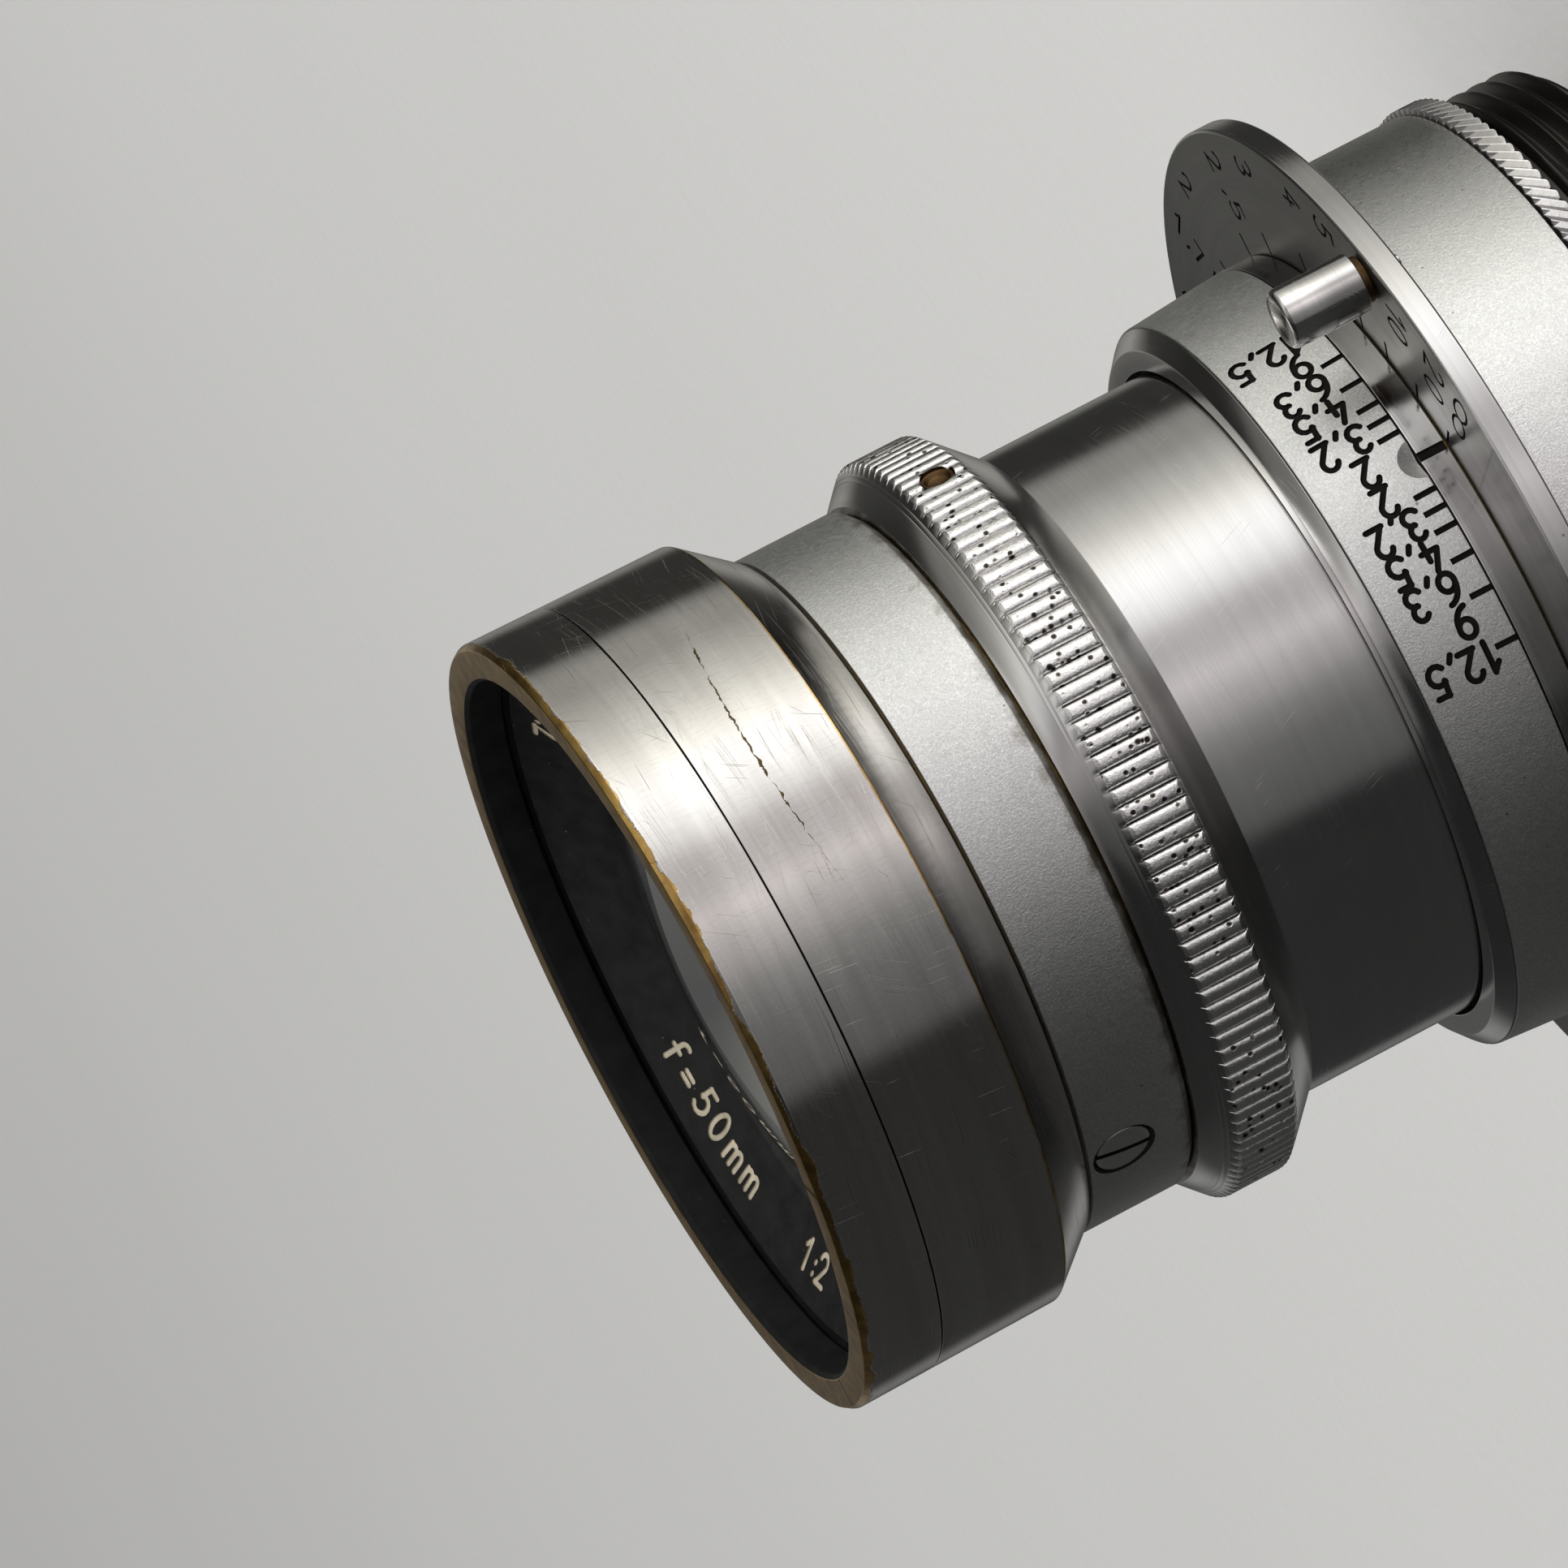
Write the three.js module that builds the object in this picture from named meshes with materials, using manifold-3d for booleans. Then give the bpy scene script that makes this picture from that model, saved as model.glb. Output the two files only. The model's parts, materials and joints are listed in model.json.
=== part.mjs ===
// Collapsible 50 mm f/2 screw-mount prime lens with a rotating distance flange.
// Millimetres. +Z is the optical axis and points at the subject, and the focusing index mark
// faces -Y. Heights below are measured from 10 mm behind the camera's seat. The finished lens
// is then set down by STAND_Z, so that it stands on its rangefinder cam ring at z = 0.
import * as THREE from "three";
import { mergeVertices } from "three/addons/utils/BufferGeometryUtils.js";
import Module from "manifold-3d";

const wasm = await Module();
wasm.setup();

// ---- driving dimensions ----
const STAND_Z = 2.5; // rear rim of the rangefinder cam ring
const SEAT_Z = 10; // face that seats on the camera body
const THREAD_R = 19.5; // M39 x 26 tpi mounting thread
const BASE_R = 19.8; // satin base barrel
const GRIP_R = 20.1; // serrated grip ring at the base
const BASE_Z = 11.1; // base barrel starts, grip ring ends
const FLANGE_R = 23.22;
const FLANGE_Z = 18.3;
const FLANGE_THICK = 1.2;
const SLEEVE_R = 17.0; // male helicoid
const INDEX_R = 17.4;
const SCALE_Z = 20.95; // depth-of-field ring, rear edge
const SCALE_FRONT_Z = 25.55;
const TUBE_R = 15.05;
const TUBE_WALL = 0.7;
const HEAD_Z = 34.5; // rear edge of the head
const KNURL_R = 17.37;
const SATIN_R = 15.9;
const GAP_Z = 45.55; // line between the fixed head and the aperture barrel
const BARREL_R = 17.9;
const FRONT_Z = 57.5;
const IRIS_Z = 36.3; // lowest iris blade
const BLADES = 6;
const BLADE_THICK = 0.12;
const BLADE_PITCH = 0.2;
const BLADE_INNER = 8.7; // full opening
const BLADE_OUTER = 12.8;
const PIVOT_R = 13.4;
const BLADE_REST = 10.8; // degrees closed from the full opening
const KNOB_R = 1.34;
const KNOB_PLACE_R = 21.85;
const KNOB_ANGLE = -71.7; // degrees
const KNOB_TOP = 23.58;
const KNOB_TRAVEL = 0.4;
const CLEAR = 0.05; // between fixed neighbours
const RUNNING = 0.15; // between parts that turn or slide
const SIDES = 32;
const LENS_SIDES = 24;
const SMALL_SIDES = 14;

const LOOKS = {
  satin_chrome: { color: 0xb9bab8, roughness: 0.5, metalness: 1 },
  bright_nickel: { color: 0xbdb6ab, roughness: 0.25, metalness: 1 },
  polished_steel: { color: 0xc9c9cb, roughness: 0.18, metalness: 1 },
  brass: { color: 0xa07a3c, roughness: 0.4, metalness: 1 },
  black_paint: { color: 0x101010, roughness: 0.55, metalness: 0 },
  blade_steel: { color: 0x2a2a2e, roughness: 0.35, metalness: 1 },
  felt: { color: 0x141414, roughness: 1, metalness: 0 },
  glass: { color: 0xcfd8de, roughness: 0.05, metalness: 0 },
};

// ---- making ----
const radians = THREE.MathUtils.degToRad;

// A body of revolution about +Z from [radius, z] points, outer side going up.
function turned(points, sides = SIDES) {
  const onAxis = points[0][0] === 0;
  const outline = onAxis ? points : [...points, points[0]];
  const profile = outline.map(([r, z]) => new THREE.Vector2(r, z));
  return new THREE.LatheGeometry(profile, sides).rotateX(Math.PI / 2);
}

function hoop(inner, outer, low, high) {
  const corners = [[inner, low], [outer, low], [outer, high], [inner, high]];
  return turned(corners);
}

function rod(radius, low, high, sides = SMALL_SIDES) {
  return turned([[0, low], [radius, low], [radius, high], [0, high]], sides);
}

// Turns something built along +Z at the origin into a radial feature at an angle and height.
function radial(geometry, angle, z) {
  return geometry.rotateY(Math.PI / 2).rotateZ(radians(angle)).translate(0, 0, z);
}

function polar(radius, angle) {
  return [radius * Math.cos(radians(angle)), radius * Math.sin(radians(angle))];
}

function solid(geometry) {
  const plain = geometry.clone();
  plain.deleteAttribute("normal");
  plain.deleteAttribute("uv");
  const merged = mergeVertices(plain, 1e-4);
  return new wasm.Manifold(new wasm.Mesh({
    numProp: 3,
    vertProperties: merged.attributes.position.array,
    triVerts: new Uint32Array(merged.index.array),
  }));
}

function geometryOf(made) {
  const mesh = made.getMesh();
  const geometry = new THREE.BufferGeometry();
  geometry.setAttribute("position", new THREE.BufferAttribute(mesh.vertProperties, 3));
  geometry.setIndex(new THREE.BufferAttribute(mesh.triVerts, 1));
  geometry.computeVertexNormals();
  return geometry;
}

function cut(geometry, ...tools) {
  const left = tools.reduce((made, tool) => made.subtract(solid(tool)), solid(geometry));
  return geometryOf(left);
}

function joined(first, ...others) {
  return geometryOf(others.reduce((made, other) => made.add(solid(other)), solid(first)));
}

const lens = new THREE.Group();

function part(name, look, geometry) {
  const mesh = new THREE.Mesh(geometry, new THREE.MeshStandardMaterial(LOOKS[look]));
  mesh.name = name;
  lens.add(mesh);
}

// ---- mount: what stays fixed on the camera ----
function mount() {
  const bore = 18.5;
  const spigot = 19.0;
  const spigotZ = 9.6;
  part("mount_base", "satin_chrome", turned([
    [bore, spigotZ], [spigot, spigotZ], [spigot, BASE_Z + CLEAR], [BASE_R, BASE_Z + CLEAR],
    [BASE_R, FLANGE_Z - 0.4], [BASE_R - 0.1, FLANGE_Z - 0.3], [bore, FLANGE_Z - 0.3],
  ]));

  const threadZ = SEAT_Z - 4.3;
  const lip = 17.3;
  part("screw_mount_ring", "polished_steel", turned([
    [lip, threadZ], [THREAD_R - 0.3, threadZ], [THREAD_R, threadZ + 0.4], [THREAD_R, SEAT_Z],
    [GRIP_R, SEAT_Z], [GRIP_R, BASE_Z], [spigot + CLEAR, BASE_Z], [spigot + CLEAR, spigotZ - 0.1],
    [bore, spigotZ - 0.1], [bore, threadZ + 0.65], [lip, threadZ + 0.65],
  ]));

  part("helicoid_retaining_ring", "brass", hoop(lip + CLEAR, bore - CLEAR, 7.75, 8.85));

  const key = new THREE.BoxGeometry(1.9, 1.9, 1.2).translate(0, lip, 7.05);
  part("sleeve_guide_key", "polished_steel", key);
}

// ---- focusing ring: distance flange, female helicoid and finger knob ----
function focusRing() {
  const [x, y] = polar(KNOB_PLACE_R, KNOB_ANGLE);
  const front = FLANGE_Z + FLANGE_THICK;
  const postR = 0.8;
  const bore = 0.42;
  const disc = turned([
    [SLEEVE_R + 0.25, FLANGE_Z], [FLANGE_R - 0.1, FLANGE_Z], [FLANGE_R, FLANGE_Z + 0.1],
    [FLANGE_R, front - 0.1], [FLANGE_R - 0.1, front], [SLEEVE_R + 0.25, front],
  ]);
  const hole = rod(postR + CLEAR, FLANGE_Z - 1, front + 1).translate(x, y, 0);
  part("distance_flange", "polished_steel", cut(disc, hole));
  part("helicoid_ring", "brass", hoop(SLEEVE_R + 0.2, 18.3, 9, FLANGE_Z - CLEAR));

  const shoulder = 1.05;
  const shoulderZ = front + 0.45;
  const postTop = 21.8;
  const post = turned([
    [bore, FLANGE_Z], [postR, FLANGE_Z], [postR, front + CLEAR], [shoulder, front + CLEAR],
    [shoulder, shoulderZ], [postR, shoulderZ], [postR, postTop], [bore, postTop],
  ], SMALL_SIDES);
  part("knob_post", "brass", post.translate(x, y, 0));

  // The knob is a cap that slides down over its post, with a thin lock pin down the middle.
  const skirt = front + KNOB_TRAVEL + CLEAR;
  const step = shoulderZ + KNOB_TRAVEL + CLEAR;
  const roof = postTop + KNOB_TRAVEL + 0.65;
  const cap = turned([
    [0, FLANGE_Z - 0.4], [0.3, FLANGE_Z - 0.4], [0.3, roof], [postR + 0.12, roof],
    [postR + 0.12, step], [shoulder + 0.08, step], [shoulder + 0.08, skirt], [KNOB_R, skirt],
    [KNOB_R, KNOB_TOP - 0.2], [KNOB_R - 0.2, KNOB_TOP], [KNOB_R - 0.35, KNOB_TOP],
    [0, KNOB_TOP - 0.25],
  ], 20);
  part("lock_knob", "polished_steel", cap.translate(x, y, 0));

  const coil = new (class extends THREE.Curve {
    getPoint(t, target = new THREE.Vector3()) {
      const turn = t * 3 * 2 * Math.PI;
      const low = postTop + 0.1;
      const high = roof - 0.1;
      return target.set(0.6 * Math.cos(turn), 0.6 * Math.sin(turn), low + (high - low) * t);
    }
  })();
  const wire = new THREE.Shape();
  wire.absarc(0, 0, 0.07, 0, 2 * Math.PI);
  const spring = new THREE.ExtrudeGeometry(wire, {
    steps: 30, curveSegments: 3, extrudePath: coil,
  });
  part("lock_spring", "polished_steel", spring.translate(x, y, 0));
}

// ---- carriage: keyed sleeve that moves straight out when the flange turns ----
function carriage() {
  const inner = 15.85;
  const neck = 16.3;
  const neckZ = FLANGE_Z + FLANGE_THICK + 0.05;
  const rearZ = 3.75;
  const tube = turned([
    [inner, rearZ], [SLEEVE_R, rearZ], [SLEEVE_R, neckZ], [neck, neckZ], [neck, SCALE_Z + 1.1],
    [inner, SCALE_Z + 1.1],
  ]);
  const keyway = new THREE.BoxGeometry(2.4, 3, 5.4).translate(0, 16.5, 5.6);
  part("focusing_sleeve", "brass", cut(tube, keyway));
  part("rangefinder_cam_ring", "polished_steel", turned([
    [15.3, STAND_Z], [SLEEVE_R - 0.15, STAND_Z], [SLEEVE_R, STAND_Z + 0.15],
    [SLEEVE_R, rearZ - CLEAR], [15.3, rearZ - CLEAR],
  ]));
  const indexLow = neckZ + 0.05;
  part("index_ring", "polished_steel",
    hoop(neck + CLEAR, INDEX_R, indexLow, SCALE_Z - 0.07));

  const land = TUBE_R + 0.2;
  const feltR = 15.95;
  part("depth_scale_ring", "satin_chrome", turned([
    [neck + CLEAR, SCALE_Z], [INDEX_R, SCALE_Z], [SLEEVE_R + 0.02, SCALE_FRONT_Z],
    [feltR, SCALE_FRONT_Z], [feltR, 23.4], [land, 23.4], [land, SCALE_Z + 1.15],
    [neck + CLEAR, SCALE_Z + 1.15],
  ]));
  part("felt_light_seal", "felt", hoop(TUBE_R + RUNNING, feltR - CLEAR, 23.5, 25.4));
  part("front_retaining_ring", "polished_steel", turned([
    [land, SCALE_FRONT_Z + CLEAR], [SLEEVE_R - 0.05, SCALE_FRONT_Z + CLEAR],
    [16.2, SCALE_FRONT_Z + 0.7], [land, SCALE_FRONT_Z + 0.7],
  ]));
  part("tube_slide_ring", "brass", hoop(TUBE_R + RUNNING, inner - RUNNING, 19.9, 21.9));
}

// ---- collapsible tube and the fixed shells of the head ----
function tubeAndHead() {
  part("collapsible_tube", "polished_steel",
    hoop(TUBE_R - TUBE_WALL, TUBE_R, 13, 35.5));
  part("tube_stop_ring", "brass", hoop(TUBE_R + CLEAR, 15.7, 17.5, 19.7));

  const bore = 15.2;
  const knurled = turned([
    [bore, HEAD_Z], [bore + 0.1, HEAD_Z], [KNURL_R, 36.57], [KNURL_R, 39.08],
    [SATIN_R + 0.05, 40.42], [bore, 40.42],
  ]);
  const dot = { angle: -51.7, z: 37.7, pin: 0.7 };
  const pocket = radial(rod(dot.pin + 0.1, KNURL_R - 0.65, 18.5, 12), dot.angle, dot.z);
  part("knurled_grip_ring", "polished_steel", cut(knurled, pocket));
  part("aperture_index_pin", "brass",
    radial(rod(dot.pin, KNURL_R - 0.6, KNURL_R - 0.2, 12), dot.angle, dot.z));

  const shell = turned([
    [bore + 0.05, 40.5], [SATIN_R - 0.35, 40.5], [SATIN_R, 40.85], [SATIN_R, GAP_Z - 0.1],
    [bore + 0.05, GAP_Z - 0.1],
  ]);
  const screw = { angle: -168.9, z: 43.8, head: 1.3 };
  const angles = [screw.angle, screw.angle + 180];
  const holes = angles.map((angle) =>
    radial(rod(screw.head + RUNNING, 14, 17), angle, screw.z));
  part("satin_head_shell", "satin_chrome", cut(shell, ...holes));
  angles.forEach((angle, i) => {
    const head = rod(screw.head, bore + 0.03, SATIN_R - 0.12, 12);
    const slot = new THREE.BoxGeometry(0.35, 4, 0.5).translate(0, 0, SATIN_R);
    part("head_screw_" + (i + 1), "polished_steel",
      radial(cut(head, slot), angle, screw.z));
  });
}

// ---- optics: six elements in four groups ----
// A surface from the axis out to a radius. A positive bend puts the rim below the vertex.
function surface(vertex, bend, reach, steps = 4) {
  return Array.from({ length: steps + 1 }, (_, i) => {
    const r = (reach * i) / steps;
    const sag = Math.abs(bend) - Math.sqrt(bend * bend - r * r);
    return [r, vertex - Math.sign(bend) * sag];
  });
}

// An element from its rear and front surfaces. A smaller surface gets a flat ground rim.
function element(name, radius, rear, front) {
  const low = surface(...rear);
  const high = surface(...front);
  const rims = [[radius, low.at(-1)[1]], [radius, high.at(-1)[1]]];
  const rearRim = low.at(-1)[0] < radius ? [rims[0]] : [];
  const frontRim = high.at(-1)[0] < radius ? [rims[1]] : [];
  part(name, "glass", turned([...low, ...rearRim, ...frontRim, ...high.reverse()], LENS_SIDES));
}

function optics() {
  element("front_element", 13.4, [51.3, 90, 13.4], [55.3, 33, 13.4]);
  element("front_doublet_outer", 11.6, [46.4, 50, 11.6], [50.4, 24, 11.6]);
  element("front_doublet_inner", 11.6, [45.2, 16, 8.8], [46.37, 50, 11.6]);
  element("rear_doublet_inner", 10.4, [31.3, 500, 10.4], [32.39, -16, 8.6]);
  element("rear_doublet_outer", 10.4, [25.8, -20, 10.4], [31.27, 500, 10.4]);
  element("rear_element", 10.4, [20.2, -40, 10.4], [25.2, 40, 10.4]);

  part("front_lens_cell", "black_paint", turned([
    [9.2, 38.15], [14.4, 38.15], [14.4, 46.95], [16.2, 46.95], [16.2, 52.75], [13.5, 52.75],
    [13.5, 50.15], [11.7, 50.15], [11.7, 42.45], [9.2, 42.45],
  ]));
  part("name_ring", "black_paint", turned([
    [13.05, 52.8], [16.2, 52.8], [16.2, 55.5], [13.3, 53.3],
  ]));
  part("doublet_retaining_ring", "black_paint", hoop(11, 11.65, 47.85, 49.05));
  part("rear_lens_cell", "black_paint", turned([
    [10.5, 19.6], [12.4, 19.6], [12.4, 31], [14.2, 31], [14.2, 35.3], [9, 35.3], [9, 35.05],
    [10.5, 35.05],
  ]));
  part("rear_spacer_ring", "black_paint", hoop(9.6, 10.45, 24.1, 28.1));
  part("rear_retaining_ring", "black_paint", hoop(9, 10.45, 19.7, 21.05));
}

// ---- iris: pivot plate, blades stacked one above the other, and slotted drive plate ----
function iris() {
  const spacing = 360 / BLADES;
  const pinTop = IRIS_Z + BLADES * BLADE_PITCH + 0.1;
  const plateZ = IRIS_Z - 0.15;
  const plate = hoop(9, 15, plateZ - 0.5, plateZ);
  const pins = Array.from({ length: BLADES }, (_, i) => {
    const [x, y] = polar(PIVOT_R, i * spacing);
    return rod(0.3, plateZ - 0.3, pinTop, 6).translate(x, y, 0);
  });
  part("iris_pivot_plate", "brass", joined(plate, ...pins));

  for (let i = 0; i < BLADES; i += 1) {
    const outline = new THREE.Shape();
    outline.absarc(0, 0, BLADE_OUTER, radians(-3), radians(128), false);
    outline.absarc(0, 0, BLADE_INNER, radians(128), radians(-3), true);
    const sheet = { depth: BLADE_THICK, bevelEnabled: false, curveSegments: 6 };
    const crescent = new THREE.ExtrudeGeometry(outline, sheet);
    const ear = rod(0.85, 0, BLADE_THICK, 10).translate(PIVOT_R, 0, 0);
    const eye = rod(0.42, -1, 1, 8).translate(PIVOT_R, 0, 0);
    const blade = cut(joined(crescent, ear), eye);
    blade.translate(-PIVOT_R, 0, 0).rotateZ(radians(BLADE_REST)).translate(PIVOT_R, 0, 0);
    blade.rotateZ(radians(i * spacing)).translate(0, 0, IRIS_Z + i * BLADE_PITCH);
    part("iris_blade_" + (i + 1), "blade_steel", blade);
  }
  part("iris_drive_plate", "brass", hoop(9.3, 14.45, pinTop + 0.05, pinTop + 0.45));
}

// ---- aperture barrel: turns on the head and works the iris ----
function apertureBarrel() {
  const bore = 16.6;
  const mouth = 16.3;
  const lip = 15.2;
  const floor = 46.2;
  const jointZ = 53.83;
  part("iris_drive_sleeve", "brass", turned([
    [14.55, 37.7], [15, 37.7], [15, floor + CLEAR], [15.9, floor + CLEAR], [15.9, 46.8],
    [14.55, 46.8],
  ]));
  part("aperture_barrel", "bright_nickel", turned([
    [lip, GAP_Z + 0.1], [SATIN_R + 0.05, GAP_Z + 0.1], [BARREL_R - 0.05, 47.89],
    [BARREL_R + 0.04, jointZ - 0.03], [bore, jointZ - 0.03], [bore, 47], [15.95, floor],
    [lip, floor],
  ]));
  part("front_bezel", "bright_nickel", turned([
    [bore, jointZ + 0.03], [BARREL_R + 0.04, jointZ + 0.03], [BARREL_R + 0.1, FRONT_Z - 0.3],
    [BARREL_R - 0.1, FRONT_Z], [mouth + 0.2, FRONT_Z], [mouth, FRONT_Z - 0.2],
    [mouth, FRONT_Z - 1.7], [bore, FRONT_Z - 1.9],
  ]));
}

mount();
focusRing();
carriage();
tubeAndHead();
optics();
iris();
apertureBarrel();
lens.position.z = -STAND_Z;

export default lens;
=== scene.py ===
"""Looks for the collapsible 50 mm prime lens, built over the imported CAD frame.

The frame gives every place and outline. Lengths below are in millimetres and angles in
degrees, and MM turns them into Blender's metres. +Z is the optical axis towards the subject.
"""
import json
import math

import bpy
import numpy as np
from mathutils import Matrix, Vector


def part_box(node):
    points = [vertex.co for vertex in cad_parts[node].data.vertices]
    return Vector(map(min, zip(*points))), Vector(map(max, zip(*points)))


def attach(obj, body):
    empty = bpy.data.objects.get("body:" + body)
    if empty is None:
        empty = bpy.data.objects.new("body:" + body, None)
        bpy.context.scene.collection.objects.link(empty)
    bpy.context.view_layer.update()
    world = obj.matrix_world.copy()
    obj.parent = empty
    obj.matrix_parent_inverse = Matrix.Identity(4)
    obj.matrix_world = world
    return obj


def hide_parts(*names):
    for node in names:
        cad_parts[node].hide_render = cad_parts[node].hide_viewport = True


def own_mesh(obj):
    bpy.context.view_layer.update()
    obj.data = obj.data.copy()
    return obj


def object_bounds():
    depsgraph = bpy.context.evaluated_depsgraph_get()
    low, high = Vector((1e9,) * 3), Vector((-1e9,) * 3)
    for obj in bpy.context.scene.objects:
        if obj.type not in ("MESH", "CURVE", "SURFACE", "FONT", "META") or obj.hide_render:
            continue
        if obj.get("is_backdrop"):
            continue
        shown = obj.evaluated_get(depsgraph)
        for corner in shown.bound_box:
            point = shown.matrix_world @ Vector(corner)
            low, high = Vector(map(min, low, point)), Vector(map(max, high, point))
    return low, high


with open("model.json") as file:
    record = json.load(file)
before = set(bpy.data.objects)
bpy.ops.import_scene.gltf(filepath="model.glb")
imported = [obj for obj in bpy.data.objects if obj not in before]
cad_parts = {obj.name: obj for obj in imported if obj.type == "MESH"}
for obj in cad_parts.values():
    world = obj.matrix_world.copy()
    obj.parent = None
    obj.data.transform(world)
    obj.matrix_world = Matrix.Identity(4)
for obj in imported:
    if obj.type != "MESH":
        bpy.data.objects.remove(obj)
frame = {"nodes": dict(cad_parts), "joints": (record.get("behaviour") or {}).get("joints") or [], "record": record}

CAD_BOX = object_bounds()
MM = 0.001
SIDES = 288  # round a turned piece
EDGE = 0.05  # the small break on every turned corner
INDEX_ANGLE = -90
TURN = 2 * math.pi


# ---- reading the frame ----
BODY_OF = {node: body for body, nodes in frame["record"]["behaviour"]["bodies"].items()
           for node in nodes}


def reach(node):
    """Outer radius, lowest and highest z of a CAD node that lies round the axis."""
    low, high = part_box(node)
    return high.x / MM, low.z / MM, high.z / MM


def outline(node):
    """A CAD ring's section as [r, z] points, anticlockwise, read along its meridian on +X."""
    mesh = frame["nodes"][node].data
    keys = [tuple(round(c / MM, 3) for c in v.co) for v in mesh.vertices]
    on_cut = {k for k in keys if abs(k[1]) < 0.002 and k[0] > 0}
    near = {k: set() for k in on_cut}
    for edge in mesh.edges:
        a, b = (keys[i] for i in edge.vertices)
        if a in near and b in near and a != b:
            near[a].add(b)
            near[b].add(a)
    start = min(near)
    path = [start]
    while True:
        ways = sorted(near[path[-1]] - set(path))
        if not ways:
            break
        path.append(ways[0])
    points = np.array([(x, z) for x, _, z in path])
    following = np.roll(points, -1, axis=0)
    area = np.sum(points[:, 0] * following[:, 1] - following[:, 0] * points[:, 1])
    return points if area > 0 else points[::-1]


def middle(node):
    """The middle of a CAD node's box."""
    low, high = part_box(node)
    return (low + high) / 2 / MM


def heading(point):
    """The angle of a point round the axis."""
    return math.degrees(math.atan2(point.y, point.x))


# ---- making meshes ----
def piece(name, node, shape, materials, sharp=30, stand=None, hides_node=True):
    """A finished mesh object that stands for a CAD node, on the node's body. A stand places a shape that is made
    round its own axis."""
    vertices, faces = shape
    mesh = bpy.data.meshes.new(name)
    mesh.from_pydata([Vector(v) * MM for v in vertices], [], faces)
    for material in materials:
        mesh.materials.append(material)
    mesh.update()
    made = bpy.data.objects.new(name, mesh)
    bpy.context.scene.collection.objects.link(made)
    mesh.shade_smooth()
    mesh.set_sharp_from_angle(angle=math.radians(sharp))
    if stand is not None:
        made.matrix_world = Matrix.Translation(stand.translation * MM) @ stand.to_3x3().to_4x4()
    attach(made, BODY_OF[node])
    if hides_node:
        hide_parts(node)
    return made


def softened(points, radius=EDGE, steps=5):
    """The outline with each clear corner turned into a small arc."""
    soft = []
    count = len(points)
    for i, corner in enumerate(points):
        back = points[i - 1] - corner
        ahead = points[(i + 1) % count] - corner
        short = min(np.hypot(*back), np.hypot(*ahead))
        cut = min(radius, 0.4 * short)
        cosine = np.dot(back, ahead) / (np.hypot(*back) * np.hypot(*ahead))
        if cosine < -0.97:
            soft.append(corner)
            continue
        start = corner + back / np.hypot(*back) * cut
        end = corner + ahead / np.hypot(*ahead) * cut
        for t in np.linspace(0, 1, steps):
            soft.append((1 - t) ** 2 * start + 2 * t * (1 - t) * corner + t**2 * end)
    return np.array(soft)


def around(rows, sides=SIDES, closed=True):
    """Vertices and faces of a body round the axis. A row is (r, z, twist), each of them a
    number or one value per side, and the faces join each row to the next."""
    angles = np.arange(sides) * 360 / sides
    vertices = []
    for r, z, twist in rows:
        turn = np.radians(angles + twist)
        vertices.extend(zip(r * np.cos(turn), r * np.sin(turn), np.broadcast_to(z, sides)))
    count = len(rows)
    faces = []
    for i in range(count if closed else count - 1):
        a = i * sides
        b = (i + 1) % count * sides
        for j in range(sides):
            k = (j + 1) % sides
            faces.append((a + j, a + k, b + k, b + j))
    if not closed:
        faces.append(tuple(range((count - 1) * sides, count * sides)))
        faces.append(tuple(reversed(range(sides))))
    return vertices, faces


def prism(path, low, high):
    """A closed body between two heights, from its outline seen from the front."""
    count = len(path)
    vertices = [(x, y, z) for z in (low, high) for x, y in path]
    faces = [tuple(reversed(range(count))), tuple(range(count, 2 * count))]
    faces += [(i, (i + 1) % count, count + (i + 1) % count, count + i) for i in range(count)]
    return vertices, faces


def tube_faces(sections, corners):
    """The faces of a closed tube, from its number of sections and the corners of each."""
    faces = []
    for i in range(sections - 1):
        a = i * corners
        b = a + corners
        for j in range(corners):
            k = (j + 1) % corners
            faces.append((a + j, b + j, b + k, a + k))
    last = (sections - 1) * corners
    faces.append(tuple(range(corners)))
    faces.append(tuple(last + j for j in reversed(range(corners))))
    return faces


def lathe(points, sides=SIDES):
    """A turned body. One without a bore starts and ends beside the axis and is capped there."""
    bored = min(r for r, _ in points) > 0.05
    return around([(r, z, 0) for r, z in points], sides, closed=bored)


def placed(tool, matrix):
    """A mesh moved by a matrix."""
    vertices, faces = tool
    return [matrix @ Vector(v) for v in vertices], faces


def spin(degrees):
    """A turn about +Z."""
    return Matrix.Rotation(math.radians(degrees), 4, "Z")


def bore(low_r, low, high_r, high, sides=64):
    """A plain or conical drill along +Z."""
    return around([(low_r, low, 0), (high_r, high, 0)], sides, closed=False)


def radial_frame(angle, z):
    """Turns +Z at the origin into the outward direction at an angle and height."""
    turn = spin(angle) @ Matrix.Rotation(math.pi / 2, 4, "Y")
    return Matrix.Translation((0, 0, z)) @ turn


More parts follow.
